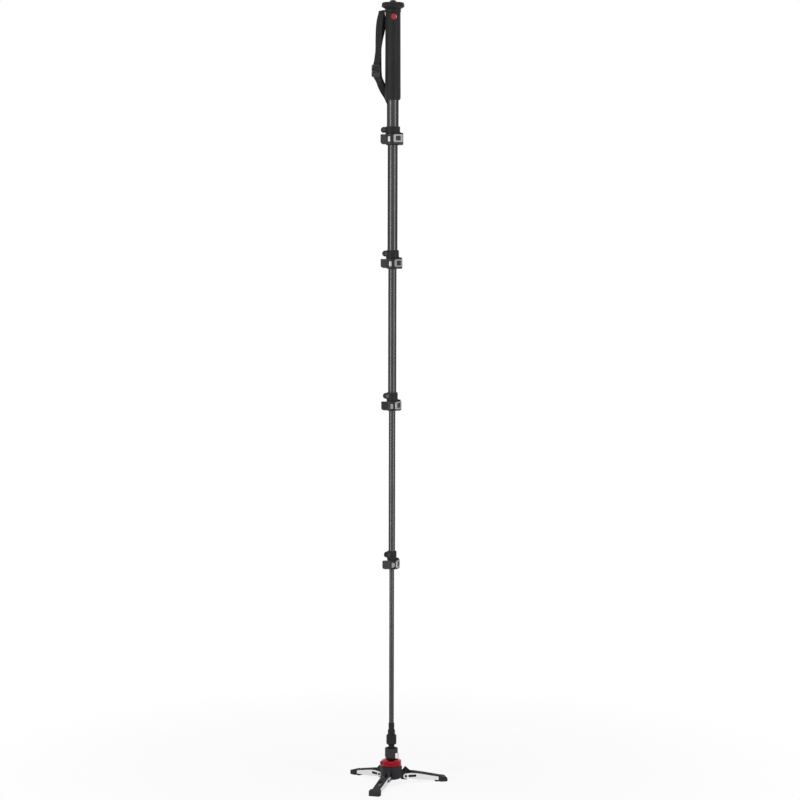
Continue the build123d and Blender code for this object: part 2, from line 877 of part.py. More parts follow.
def ball_stem():
    """The ball, its neck and the spigot up into the block."""
    stem_top = (block_low + block_top - spigot_length) / 2
    ball = Pos(0, 0, ball_height) * Sphere(ball_radius)
    neck = Pos(0, 0, ball_height) * Cylinder(neck_radius, block_low - ball_height, align=UP)
    spigot = Pos(0, 0, block_low) * Cylinder(spigot_radius, stem_top - block_low, align=UP)
    return ball + neck + spigot


def ball_liner():
    """The bearing shell between the ball and the cup, open above and below."""
    inner = liner_radius - liner_wall
    shell = Sphere(liner_radius) - Sphere(inner)
    shell -= Pos(0, 0, liner_lip_rise) * Cylinder(liner_radius, liner_radius, align=UP)
    shell -= Pos(0, 0, -2 * liner_radius) * Cylinder(liner_hole_radius, 2 * liner_radius, align=UP)
    return Pos(0, 0, ball_height) * shell


def button_pocket(inner, margin):
    return radial_block(
        button_azimuth, inner, cup_radius + button_proud + cut_over, button_width + 2 * margin,
        button_height + 2 * margin, pan_top + button_rise, button_corner + margin,
    )


def socket_cup():
    """The cup round the ball, with a pocket for the button."""
    seat = cup_seat_rise
    seat_radius = (cup_bore_radius**2 - seat**2) ** 0.5
    profile = [
        (0, pan_top - cup_spigot_length),
        (cup_spigot_radius, pan_top - cup_spigot_length),
        (cup_spigot_radius, pan_top),
        (cup_foot_radius, pan_top),
        (cup_radius, pan_top + cup_foot_height),
        (cup_radius, cup_top - cup_lip_edge),
        (cup_radius - cup_lip_edge, cup_top),
        (cup_mouth_radius, cup_top),
        (seat_radius, ball_height + seat),
        (0, ball_height + seat),
    ]
    cup = turned(profile) - Pos(0, 0, ball_height) * Sphere(cup_bore_radius)
    pocket = cup_radius + button_proud - button_thickness - button_travel - running_gap
    return cup - button_pocket(pocket, running_gap)


def cup_button():
    """The silver button, square to the cup's wall, with a small round dimple."""
    inner = cup_radius + button_proud - button_thickness
    outer = cup_radius + button_proud
    middle = pan_top + button_rise
    button = radial_block(
        button_azimuth, inner, outer, button_width, button_height, middle, button_corner
    )
    face = button.faces().sort_by_distance(at(button_azimuth, 2 * outer, middle))[0]
    button = chamfer(face.edges(), button_edge)
    dimple = Pos(outer - button_dimple_depth, 0, middle) * Rot(0, 90, 0) * Cylinder(
        button_dimple_radius, button_dimple_depth + cut_over, align=UP
    )
    return button - placed(button_azimuth, dimple)


# Pan ring, hub and cover


def pan_ring():
    """The red ring: an upright wall, a dome up to the cup and a small tab at one side."""
    wall_top = pan_bottom + ring_pan_height
    profile = [
        (0, pan_bottom),
        (ring_pan_radius - ring_pan_edge, pan_bottom),
        (ring_pan_radius, pan_bottom + ring_pan_edge),
        (ring_pan_radius, wall_top - ring_pan_edge),
        (ring_pan_radius - ring_pan_edge, wall_top),
        (ring_pan_seat, pan_top),
        (cup_spigot_radius, pan_top),
        (cup_spigot_radius, pan_top - cup_spigot_length),
        (0, pan_top - cup_spigot_length),
    ]
    ring = turned(profile)
    tab = radial_block(
        pan_tab_azimuth, ring_pan_radius / 2, ring_pan_radius + pan_tab_reach, pan_tab_width,
        pan_tab_height, pan_bottom + ring_pan_height / 2, ring_pan_edge,
    )
    return ring + tab


def pan_cartridge():
    """The damped shaft that the ring stands on, turning inside the hub."""
    low = hub_bottom + hub_floor + running_gap
    neck_low = hub_top - cartridge_neck_height
    drum = Pos(0, 0, low) * Cylinder(cartridge_radius, neck_low - low, align=UP)
    neck = Pos(0, 0, neck_low) * Cylinder(cartridge_neck_radius, pan_bottom - neck_low, align=UP)
    return drum + neck


def leg_ear_side(sign, thickness_start, thickness_end):
    """The sideways span of an ear on one side of the leg."""
    low, high = sign * thickness_start, sign * thickness_end
    return min(low, high), max(low, high)


def leg_ear(side, peak_height):
    """One ear of the hub: an eye round the pin and a fin above the leg's root."""
    low, high = leg_ear_side(side, ear_inner_gap, ear_inner_gap + ear_thickness)
    root = hub_recess_radius - hub_edge
    dip = min(fin_root_height, peak_height)
    points = [
        (root, pivot_height - ear_eye_radius + hub_edge),
        (pivot_reach, pivot_height - ear_eye_radius),
        (pivot_reach + ear_eye_radius, pivot_height),
        (fin_foot_reach, fin_foot_height * peak_height / fin_peak_height),
        (fin_peak_reach, peak_height),
        (fin_root_reach, dip),
        (root, dip),
    ]
    return slab(points, low, high) + rod(ear_eye_radius, low, high, pivot_reach, pivot_height)


def leg_hub():
    """The drum over the cartridge, cut back at each leg and with a pair of ears there."""
    drum = Pos(0, 0, hub_bottom) * Cylinder(hub_radius, hub_height, align=UP)
    drum = chamfer(drum.edges().filter_by(GeomType.CIRCLE), hub_edge)
    half = leg_width / 2 + ear_recess_side_gap
    for azimuth in leg_azimuths.values():
        recess = Pos(hub_recess_radius, 0, hub_bottom - cut_over) * Box(
            hub_radius, 2 * half, hub_height + 2 * cut_over, align=(Align.MIN, Align.CENTER, Align.MIN)
        )
        drum -= placed(azimuth, recess)
    for azimuth in leg_azimuths.values():
        drum += placed(azimuth, leg_ear(1, fin_peak_height) + leg_ear(-1, low_fin_height))
    drum -= Pos(0, 0, hub_bottom + hub_floor) * Cylinder(
        cartridge_radius + running_gap, hub_height - hub_floor - cartridge_neck_height + running_gap,
        align=UP,
    )
    drum -= Pos(0, 0, hub_bottom + hub_floor) * Cylinder(
        cartridge_neck_radius + running_gap, hub_height, align=UP
    )
    for azimuth in leg_azimuths.values():
        hole = rod(leg_pin_radius + turning_clearance, -hub_radius, hub_radius, pivot_reach, pivot_height)
        drum -= placed(azimuth, hole)
    return drum


def hub_cover():
    disc = Pos(0, 0, hub_bottom - cover_height) * Cylinder(cover_radius, cover_height, align=UP)
    return chamfer(disc.edges().filter_by(GeomType.CIRCLE).sort_by(Axis.Z)[0], cover_edge)


def leg_pins():
    """Three pins, each with a flat head outside each side plate."""
    head_low = leg_width / 2 + turning_clearance
    head_high = head_low + leg_pin_head_height
    pins = []
    for azimuth in leg_azimuths.values():
        pin = rod(leg_pin_radius, -head_high, head_high, pivot_reach, pivot_height)
        for low, high in ((-head_high, -head_low), (head_low, head_high)):
            pin += rod(leg_pin_head_radius, low, high, pivot_reach, pivot_height)
        pins.append(placed(azimuth, pin))
    return Compound(children=pins)


# Legs


def plate_outline():
    """The silver side plate's outline without its round eye."""
    top = list(zip(leg_top_reaches, plate_top_heights))
    low = list(zip(leg_top_reaches, plate_low_heights))
    return [(pivot_reach, pivot_height + leg_eye_radius), *top, *low[::-1],
            (pivot_reach, pivot_height - leg_eye_radius)]


def leg_frame(azimuth):
    """The silver channel: two slotted side plates and the web under the rubber strip."""
    half = leg_width / 2
    tip = Pos(plate_tip_reach, 0, 0) * Box(
        plate_tip_reach, 2 * leg_width, 2 * plate_tip_reach, align=(Align.MIN, Align.CENTER, Align.CENTER)
    )
    frame = None
    for low, high in ((-half, leg_plate - half), (half - leg_plate, half)):
        plate = slab(plate_outline(), low, high)
        plate += rod(leg_eye_radius, low, high, pivot_reach, pivot_height)
        slot_start = leg_slot_reach + leg_slot_height / 2
        slot_end = leg_slot_reach + leg_slot_length - leg_slot_height / 2
        slot_low = pivot_height - leg_slot_height / 2
        points = [(slot_start, slot_low), (slot_end, slot_low),
                  (slot_end, slot_low + leg_slot_height), (slot_start, slot_low + leg_slot_height)]
        plate -= slab(points, low, high)
        for end in (slot_start, slot_end):
            plate -= rod(leg_slot_height / 2, low, high, end, pivot_height)
        frame = plate if frame is None else frame + plate
    top = list(zip(leg_top_reaches, plate_top_heights))
    under = [(reach, height - frame_web_thickness) for reach, height in top]
    web = slab([*top, *under[::-1]], leg_plate - half, half - leg_plate)
    web -= Box(2 * frame_web_reach, leg_width, 4 * frame_web_reach)
    web -= strip_slot_cut()
    frame = frame + web - tip
    hole = rod(leg_pin_radius + turning_clearance, -leg_width, leg_width, pivot_reach, pivot_height)
    return placed(azimuth, frame - hole)


def strip_slot_cut():
    """The long slot through the strip and the web."""
    middle = strip_slot_reach + strip_slot_length / 2
    slot = SlotOverall(strip_slot_length, strip_slot_width)
    return Pos(middle, 0, 0) * extrude(slot, fin_peak_height)


def leg_rubber(azimuth):
    """The rubber on top of a leg: two rails, then the full strip, then the T-shaped foot."""
    half = leg_width / 2
    top = list(zip(leg_top_reaches, strip_top_heights))
    under = list(zip(leg_top_reaches, plate_top_heights))
    strip = slab([*top, *under[::-1]], -half, half)
    strip = chamfer(top_side_edges(strip), strip_edge)
    gap = half - leg_plate
    root_gap = Pos(bridge_start_reach, 0, 0) * Box(
        bridge_start_reach, 2 * gap, 2 * bridge_start_reach, align=(Align.MAX, Align.CENTER, Align.CENTER)
    )
    strip -= root_gap
    strip -= strip_slot_cut()
    return placed(azimuth, strip + foot_block())


def top_side_edges(strip):
    """The edges that run along both sides of the strip's top."""
    edges = []
    for face in strip.faces():
        if face.normal_at().Z > abs(face.normal_at().X):
            edges += [edge for edge in face.edges() if abs((edge % 0).X) > abs((edge % 0).Y)]
    return edges


def foot_block():
    """The foot: a T in plan that tapers to the toe and stands flat on the floor."""
    toe = foot_start_reach + foot_length
    inner = plate_tip_reach
    heel = inner - heel_length
    side = [(heel, 0), (toe - foot_edge / 2, 0), (toe, foot_edge / 2), (toe, toe_height),
            (foot_start_reach, foot_height), (inner, foot_height), (inner, heel_height), (heel, foot_edge / 2)]
    body = slab(side, -foot_width / 2, foot_width / 2)
    crest = [edge for edge in body.edges() if abs(edge.center().X - toe) + abs(edge.center().Z - toe_height) < foot_edge / 2]
    body = fillet(crest, toe_corner)
    middle = foot_start_reach + foot_length / 2
    head = Pos(middle, 0) * RectangleRounded(foot_length, foot_width, foot_corner)
    stalk = Pos((heel + middle) / 2, 0) * Rectangle(middle - heel, leg_width)
    return body & extrude(head + stalk, foot_height)


def write(name, shape):
    """One file per piece."""
    export_step(shape, os.path.join("parts", name + ".step"))


def main():
    os.makedirs("parts", exist_ok=True)
    pieces = {
        "camera_screw": camera_screw(),
        "top_plate": top_plate(),
        "plate_pad": plate_pad(),
        "head_plug": head_plug(),
        "strap_ring": strap_ring(),
        "wrist_strap": wrist_strap(),
        "strap_buckle": strap_buckle(),
        "grip_sleeve": grip_sleeve(),
        "grip_badge": grip_badge(),
        "tube_end_fitting": tube_end_fitting(),
        "column_block": column_block(),
        "ball_stem": ball_stem(),
        "ball_liner": ball_liner(),
        "socket_cup": socket_cup(),
        "cup_button": cup_button(),
        "pan_ring": pan_ring(),
        "pan_cartridge": pan_cartridge(),
        "leg_hub": leg_hub(),
        "hub_cover": hub_cover(),
        "leg_pins": leg_pins(),
    }
    for section in range(1, tube_count + 1):
        pieces[f"tube_{section}"] = tube(section)
        if section > 1:
            pieces[f"guide_bush_{section}"] = guide_bush(section)
    makers = {
        "collar": clamp_collar, "shim": clamp_shim, "lever": clamp_lever,
        "link": clamp_link, "hinge_pin": hinge_pin, "pinch_bolt": pinch_bolt,
    }
    for number, turn in clamp_turns.items():
        for part, maker in makers.items():
            pieces[f"clamp_{number}_{part}"] = Rot(0, 0, turn) * maker(number)
    for side, azimuth in leg_azimuths.items():
        pieces[f"leg_{side}_frame"] = leg_frame(azimuth)
        pieces[f"leg_{side}_rubber"] = leg_rubber(azimuth)
    for name, shape in pieces.items():
        write(name, shape)


main()
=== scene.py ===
"""Looks of a five-section camera monopod with flip-lock clamps and a folding three-leg base."""

import json
import math

import bmesh
import bpy
from mathutils import Matrix, Vector


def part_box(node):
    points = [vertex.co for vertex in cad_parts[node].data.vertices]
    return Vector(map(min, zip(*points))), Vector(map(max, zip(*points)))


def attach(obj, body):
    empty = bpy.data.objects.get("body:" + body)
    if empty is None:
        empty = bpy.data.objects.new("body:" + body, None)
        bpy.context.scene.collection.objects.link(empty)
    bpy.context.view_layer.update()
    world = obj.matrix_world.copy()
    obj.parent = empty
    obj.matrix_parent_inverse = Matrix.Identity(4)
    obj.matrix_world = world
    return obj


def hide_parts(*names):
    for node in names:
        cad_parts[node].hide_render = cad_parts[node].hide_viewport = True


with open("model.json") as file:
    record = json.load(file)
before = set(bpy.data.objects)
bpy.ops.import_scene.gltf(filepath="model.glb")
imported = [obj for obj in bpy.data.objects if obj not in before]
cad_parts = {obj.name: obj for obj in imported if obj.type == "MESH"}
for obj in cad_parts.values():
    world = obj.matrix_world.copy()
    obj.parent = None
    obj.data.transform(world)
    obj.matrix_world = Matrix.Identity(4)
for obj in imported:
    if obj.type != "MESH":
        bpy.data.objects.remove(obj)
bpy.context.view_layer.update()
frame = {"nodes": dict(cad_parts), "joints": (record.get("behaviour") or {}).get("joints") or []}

bl_info = {
    "name": "Camera Monopod",
    "version": (1, 0, 0),
    "blender": (4, 5, 0),
    "location": "3D View > Sidebar > Monopod",
    "description": "Gives a telescopic camera monopod its finishes, strap, stud thread and studio",
    "category": "Object",
}

NODES = frame["nodes"]
CLAMPS = (1, 2, 3, 4)
SIDES = ("front", "right", "left")
MM = 0.001

# Pitches of the finishes' patterns, in metres
TOW_WIDTH = 0.0022
PAD_RING_PITCH = 0.0016
RIB_PITCH = 0.0011
WARP_PITCH = 0.0009
TWIST_PITCH = 0.0005

# How much finer the grain of drawn and of brushed metal is along each axis
DRAWN = (0.3, 0.3, 2.0)
BRUSHED = (1, 1, 0.1)

# Plastic of the hidden liners and bushes, and the white paper of the floor
ACETAL = (0.62, 0.61, 0.57)
ACETAL_SHADE = (0.50, 0.49, 0.45)
PAPER = (0.95, 0.95, 0.95)
PAPER_SHADE = (0.93, 0.93, 0.93)

# Painted shade inside a leg's channel: a black that stands in for its shadow, which ends this far sideways
# from the channel's middle
CHANNEL_SHADE_COLOR = (0.014, 0.014, 0.014)
CHANNEL_SHADE_REACH = 0.0083

# The pads in a leg's slots, in metres
SLOT_PAD_REACH = 0.0545
SLOT_PAD_SIDE = 0.0073
SLOT_PAD_HEIGHT = 0.0186
SLOT_PAD_SIZE = (0.0246, 0.0013, 0.0092)
SLOT_PAD_CORNER = 0.0040

# The hub's black has a little violet in it
HUB_COLOR = (0.0165, 0.0155, 0.0190)

# One pitch of the stud's thread: 0 at its root or 1 at its crest, and the share of the pitch there
THREAD_PROFILE = ((0, 0.0), (0, 0.12), (1, 0.44), (1, 0.56), (0, 0.88), (0, 1.0))
THREAD_STEPS = 48

# The stud's two ends, in metres
STUD_SINK = 0.0004
STUD_CHAMFER = 0.0007
STUD_TIP_INSET = 0.0005

# The strap, in millimetres: sideways from the pole, back from it, and down from the ring's middle
SEAM_REACH = -26.9
SEAM_DEPTH = 6.5
SEAM_DROP = 20.0
SEAM_WIDTH = 10.5
SEAM_HEIGHT = 9.0

# One loop of webbing: each place also has the tilt of the webbing's width, in degrees
STRAP_START = (
    (-27.4, 5.2, 27.0, 0), (-27.6, 4.6, 17.0, 0), (-28.4, 3.4, 8.0, 6),
)
STRAP_BEND = (
    (-28.6, 2.9, 3.1, 10), (-28.6, 2.05, 1.0, 10), (-28.6, 0.0, 0.15, 10),
    (-28.6, -2.05, 1.0, 10), (-28.8, -2.9, 3.1, 9),
)
STRAP_FRONT = (
    (-30.0, -3.3, 9.0, 4), (-31.5, -3.5, 15.0, 2), (-33.6, -3.7, 25.2, 1),
    (-35.8, -3.9, 45.0, 0), (-36.7, -3.5, 75.0, 0), (-36.9, -3.2, 101.0, 0),
    (-38.4, -3.0, 114.0, 0), (-40.2, -3.2, 127.0, 0), (-42.3, -3.8, 136.5, 0),
)
STRAP_BUCKLE = (
    (-43.2, -4.0, 140.8, 0), (-43.5, -4.3, 142.3, 0), (-43.5, -5.2, 142.95, 0),
    (-43.5, -6.4, 143.25, 0), (-43.5, -7.6, 143.55, 0), (-43.5, -8.5, 144.2, 0),
    (-43.5, -8.85, 145.8, 0), (-43.5, -9.1, 149.2, 0), (-43.5, -8.85, 152.6, 0),
    (-43.5, -8.5, 154.2, 0), (-43.5, -7.6, 154.85, 0), (-43.5, -6.4, 155.15, 0),
    (-43.5, -5.2, 155.45, 0), (-43.5, -4.3, 156.1, 0), (-43.3, -4.0, 157.8, 0),
)
STRAP_TAIL = (
    (-42.6, -4.0, 165.0, 2), (-40.6, -4.2, 170.5, 10), (-37.4, -3.4, 175.5, 18),
    (-34.2, -0.5, 182.0, 22), (-31.5, 4.0, 189.6, 22), (-28.2, 9.0, 196.8, 25),
    (-24.5, 14.0, 204.1, 29), (-19.9, 18.5, 211.4, 32), (-15.0, 22.0, 219.0, 32),
    (-11.0, 24.3, 227.5, 28), (-7.5, 25.6, 235.0, 25), (-5.4, 27.0, 239.6, 25),
    (-4.8, 29.0, 241.4, 25), (-4.9, 30.8, 239.4, 25), (-6.4, 30.8, 233.0, 27),
    (-8.9, 29.0, 225.0, 30), (-13.0, 26.2, 217.0, 31), (-16.9, 22.8, 209.0, 30),
    (-20.9, 18.9, 201.5, 28), (-24.6, 14.2, 194.5, 25), (-27.8, 9.0, 187.3, 24),
    (-31.5, 4.6, 179.0, 22), (-34.6, 1.9, 171.5, 14),
)
STRAP_BACK = (
    (-35.9, 0.9, 162.0, 3), (-36.7, 0.6, 150.0, 0), (-36.9, 0.8, 138.0, 0),
    (-37.1, 1.6, 117.0, 0), (-37.1, 2.3, 101.0, 0), (-36.6, 2.7, 93.0, 0),
    (-35.4, 3.0, 86.0, 0), (-34.3, 3.4, 78.0, 0), (-30.8, 4.4, 62.5, 0),
    (-28.5, 5.3, 52.0, 0), (-27.1, 6.5, 43.0, 0), (-26.9, 6.9, 34.0, 0),
    (-26.9, 6.8, 26.0, 0), (-27.0, 6.2, 14.0, 0),
)
STRAP_PLACES = STRAP_START + STRAP_BEND + STRAP_FRONT + STRAP_BUCKLE + STRAP_TAIL + STRAP_BACK

# The strap, in metres, and how many stitch lengths apart its stitches stand
RING_HALF_HEIGHT = 0.005
THREAD_RADIUS = 0.00028
PATH_STEP = 0.0016
WEBBING_COLUMNS = 6
WEBBING_EDGE = 0.0003
STITCH_SPACING = 1.25

# The studio, in metres
STRIP_SIZE = (0.32, 2.4)
STRIP_DISTANCE = 2.0
TOP_LAMP_SIZE = (4.0, 4.0)
TOP_LAMP_HEIGHT = 6.0
FLOOR_RADIUS = 40.0
FLOOR_GLOW = 0.86
SHADOW_REACH = 0.35
SHADOW_FADE = 0.9
BACKGROUND_RAYS = ("Is Camera Ray", "Is Glossy Ray", "Is Transmission Ray")
LEFT_LAMP_AZIMUTH = -47.0
RIGHT_LAMP_AZIMUTH = 52.0
PICTURE_WIDTH = 800
SENSOR_WIDTH = 36.0


# Properties


class MonopodFinishes(bpy.types.PropertyGroup):
    """Colours of the monopod's finishes."""

    carbon: bpy.props.FloatVectorProperty(
        name="Carbon", description="Colour of the lacquered tubes", subtype="COLOR", size=3,
        default=(0.036, 0.036, 0.037), min=0.0, max=1.0,
    )
    tow: bpy.props.FloatVectorProperty(
        name="Carbon Tow", description="Lighter colour of the tubes' fibre tows", subtype="COLOR", size=3,
        default=(0.085, 0.085, 0.087), min=0.0, max=1.0,
    )
    powder: bpy.props.FloatVectorProperty(
        name="Powder Coat", description="Colour of the black castings", subtype="COLOR", size=3,
        default=(0.0130, 0.0125, 0.0130), min=0.0, max=1.0,
    )
    moulding: bpy.props.FloatVectorProperty(
        name="Moulding", description="Colour of the black plastic levers", subtype="COLOR", size=3,
        default=(0.0150, 0.0148, 0.0150), min=0.0, max=1.0,
    )
    grip: bpy.props.FloatVectorProperty(
        name="Grip", description="Colour of the soft grip", subtype="COLOR", size=3,
        default=(0.0105, 0.0105, 0.0108), min=0.0, max=1.0,
    )
    rubber: bpy.props.FloatVectorProperty(
        name="Rubber", description="Colour of the feet and pads", subtype="COLOR", size=3,
        default=(0.029, 0.0285, 0.029), min=0.0, max=1.0,
    )
    webbing: bpy.props.FloatVectorProperty(
        name="Webbing", description="Colour of the wrist strap", subtype="COLOR", size=3,
        default=(0.024, 0.024, 0.026), min=0.0, max=1.0,
    )
    silver: bpy.props.FloatVectorProperty(
        name="Silver", description="Colour of the legs' satin aluminium", subtype="COLOR", size=3,
        default=(0.73, 0.73, 0.74), min=0.0, max=1.0,
    )
    inlay: bpy.props.FloatVectorProperty(
        name="Inlay", description="Colour of the clamps' metal inlays", subtype="COLOR", size=3,
        default=(0.29, 0.29, 0.30), min=0.0, max=1.0,
    )
    steel: bpy.props.FloatVectorProperty(
        name="Steel", description="Colour of the screws and pins", subtype="COLOR", size=3,
        default=(0.40, 0.40, 0.41), min=0.0, max=1.0,
    )
    red: bpy.props.FloatVectorProperty(
        name="Red", description="Colour of the pan ring", subtype="COLOR", size=3,
        default=(0.23, 0.0025, 0.0105), min=0.0, max=1.0,
    )


class MonopodSizes(bpy.types.PropertyGroup):
    """Sizes of the wrist strap and the stud's thread."""

    width: bpy.props.FloatProperty(
        name="Webbing Width", description="Width of the wrist strap", subtype="DISTANCE", unit="LENGTH",
        default=0.016, min=0.01, max=0.03,
    )
    thickness: bpy.props.FloatProperty(
        name="Webbing Thickness", description="Thickness of the webbing", subtype="DISTANCE", unit="LENGTH",
        default=0.0013, min=0.0005, max=0.003,
    )
    stitch: bpy.props.FloatProperty(
        name="Stitch Length", description="Length of one stitch", subtype="DISTANCE", unit="LENGTH",
        default=0.0022, min=0.001, max=0.005,
    )
    thread_pitch: bpy.props.FloatProperty(
        name="Thread Pitch", description="Pitch of the camera stud's thread", subtype="DISTANCE",
        unit="LENGTH", default=0.0015875, min=0.0005, max=0.003,
    )
    thread_depth: bpy.props.FloatProperty(
        name="Thread Depth", description="Depth of the camera stud's thread", subtype="DISTANCE",
        unit="LENGTH", default=0.00085, min=0.0002, max=0.002,
    )


class MonopodStage(bpy.types.PropertyGroup):
    """Camera and light of the studio."""

    camera_height: bpy.props.FloatProperty(
        name="Camera Height", description="Height of the camera above the floor", subtype="DISTANCE",
        unit="LENGTH", default=1.6033, min=0.0, max=10.0,
    )
    camera_distance: bpy.props.FloatProperty(
        name="Camera Distance", description="Distance of the camera from the pole", subtype="DISTANCE",
        unit="LENGTH", default=6.4, min=1.0, max=30.0,
    )
    camera_side: bpy.props.FloatProperty(
        name="Camera Side", description="How far the camera stands right of the pole",
        subtype="DISTANCE", unit="LENGTH", default=0.0204, min=-1.0, max=1.0,
    )
    camera_pitch: bpy.props.FloatProperty(
        name="Camera Pitch", description="How far the camera looks down", subtype="ANGLE",
        unit="ROTATION", default=math.radians(5.283), min=-1.0, max=1.0,
    )
    camera_roll: bpy.props.FloatProperty(
        name="Camera Roll", description="How far the camera leans", subtype="ANGLE", unit="ROTATION",
        default=math.radians(0.144), min=-0.1, max=0.1,
    )
    focal_pixels: bpy.props.FloatProperty(
        name="Focal Length", description="Focal length in pixels of an 800 pixel wide picture",
        default=2479.0, min=100.0, max=10000.0,
    )
    fill: bpy.props.FloatProperty(
        name="Fill", description="Strength of the light from all round", default=0.20, min=0.0, max=2.0,
    )
    left_lamp: bpy.props.FloatProperty(
        name="Left Lamp", description="Radiance of the tall lamp on the left",
        default=10.0, min=0.0, max=50.0,
    )
    right_lamp: bpy.props.FloatProperty(
        name="Right Lamp", description="Radiance of the tall lamp on the right",
        default=8.0, min=0.0, max=50.0,
    )
    top_lamp: bpy.props.FloatProperty(
        name="Top Lamp", description="Radiance of the wide lamp above", default=2.0, min=0.0, max=50.0,
    )


# Shader maths


class Wire:
    """A shader socket that takes Python arithmetic."""

    def __init__(self, nodes, socket):
        self.nodes = nodes
        self.socket = socket

    def math(self, operation, *others, swap=False, clamp=False):
        values = [self, *others]
        if swap:
            values = values[::-1]
        return self.nodes.add(
            "ShaderNodeMath", {"operation": operation, "use_clamp": clamp}, dict(enumerate(values))
        )

    def __add__(self, other):
        return self.math("ADD", other)

    def __sub__(self, other):
        return self.math("SUBTRACT", other)

    def __mul__(self, other):
        return self.math("MULTIPLY", other)

    def __truediv__(self, other):
        return self.math("DIVIDE", other)

    def __rsub__(self, other):
        return self.math("SUBTRACT", other, swap=True)

    def __rtruediv__(self, other):
        return self.math("DIVIDE", other, swap=True)

    def __pow__(self, other):
        return self.math("POWER", other)

    __radd__ = __add__
    __rmul__ = __mul__

    def sin(self):
        return self.math("SINE")

    def absolute(self):
        return self.math("ABSOLUTE")

    def above(self, edge):
        """1 above the edge and 0 below it."""
        return self.math("GREATER_THAN", edge)

    def fraction(self):
        return self.math("FRACT")

    def floor(self):
        return self.math("FLOOR")

    def kept(self):
        """The value kept between 0 and 1."""
        return self.math("ADD", 0.0, clamp=True)


class Nodes:
    """A node tree, and the one method that adds nodes to it."""

    def __init__(self, tree):
        self.tree = tree
        self.tree.nodes.clear()

    def node(self, kind, settings=None, inputs=None):
        """A node of a kind with its settings, and its sockets fed."""
        node = self.tree.nodes.new(kind)
        for name, value in (settings or {}).items():
            if name == "stops":
                self.set_stops(node.color_ramp, value)
            else:
                setattr(node, name, value)
        for name, value in (inputs or {}).items():
            self.feed(node.inputs[name], value)
        return node

    def add(self, kind, settings=None, inputs=None, output=0):
        """One output of a new node."""
        return Wire(self, self.node(kind, settings, inputs).outputs[output])

    def background(self):
        """1 for the rays that see a surface, and 0 for the light that the surface gives."""
        rays = [self.add("ShaderNodeLightPath", output=name) for name in BACKGROUND_RAYS]
        return (rays[0] + rays[1] + rays[2]).kept()

    def set_stops(self, ramp, stops):
        while len(ramp.elements) < len(stops):
            ramp.elements.new(1.0)
        for element, (place, shade) in zip(ramp.elements, stops):
            element.position = place
            element.color = (shade, shade, shade, 1.0)

    def feed(self, socket, value):
        if isinstance(value, Wire):
            self.tree.links.new(value.socket, socket)
        elif socket.type == "RGBA" and len(value) == 3:
            socket.default_value = (*value, 1.0)
        else:
            socket.default_value = value


class Finish(Nodes):
    """One material with a Principled shader."""

    def __init__(self, name, sockets):
        self.material = bpy.data.materials.new(name)
        self.material.use_nodes = True
        super().__init__(self.material.node_tree)
        self.surface = self.add("ShaderNodeBsdfPrincipled", inputs=sockets, output="BSDF")
        self.shader = self.surface.socket.node
        self.output = self.node("ShaderNodeOutputMaterial", inputs={"Surface": self.surface})
        self.spot = None

    def place(self):
        """The point in the part's own coordinates, in metres."""
        if self.spot is None:
            self.spot = self.add("ShaderNodeTexCoord", output="Object")
        return self.spot

    def axes(self, vector=None):
        """The three parts of a vector, or else of the part's own coordinates."""
        node = self.node("ShaderNodeSeparateXYZ", inputs={0: vector or self.place()})
        return [Wire(self, socket) for socket in node.outputs]

    def stretched(self, scale):
        """The part's own coordinates with each axis scaled."""
        inputs = {"Vector": self.place(), "Scale": scale}
        return self.add("ShaderNodeMapping", {"vector_type": "POINT"}, inputs)

    def noise(self, size, detail=3.0, rough=0.5, vector=None):
        """Smooth noise whose blotches are about size metres across."""
        inputs = {"Vector": vector or self.place(), "Scale": 1 / size, "Detail": detail, "Roughness": rough}
        return self.add("ShaderNodeTexNoise", {"noise_dimensions": "3D"}, inputs)

    def cells(self, size):
        """Distance to the nearest of many points about size metres apart."""
        inputs = {"Vector": self.place(), "Scale": 1 / size}
        return self.add("ShaderNodeTexVoronoi", {"feature": "F1"}, inputs, output="Distance")

    def ramp(self, value, *stops):
        """A value sent through stops, each a place and a grey."""
        return self.add("ShaderNodeValToRGB", {"stops": stops}, {"Fac": value})

    def blend(self, amount, first, second):
        """The first colour where the amount is 0 and the second where it is 1."""
        inputs = {0: amount, 6: first, 7: second}
        return self.add("ShaderNodeMix", {"data_type": "RGBA"}, inputs, output=2)

    def color(self, value):
        self.feed(self.shader.inputs["Base Color"], value)

    def roughness(self, value):
        self.feed(self.shader.inputs["Roughness"], value)

    def metallic(self, value):
        self.feed(self.shader.inputs["Metallic"], value)

    def relief(self, height, depth, strength=1.0):
        """Bumps whose height of 1 stands depth metres out of the surface."""
        inputs = {"Strength": strength, "Distance": depth, "Height": height}
        normal = self.add("ShaderNodeBump", None, inputs)
        self.feed(self.shader.inputs["Normal"], normal)


def shade(color, factor):
    """A colour lightened or darkened by a factor."""
    return tuple(min(1.0, part * factor) for part in color)


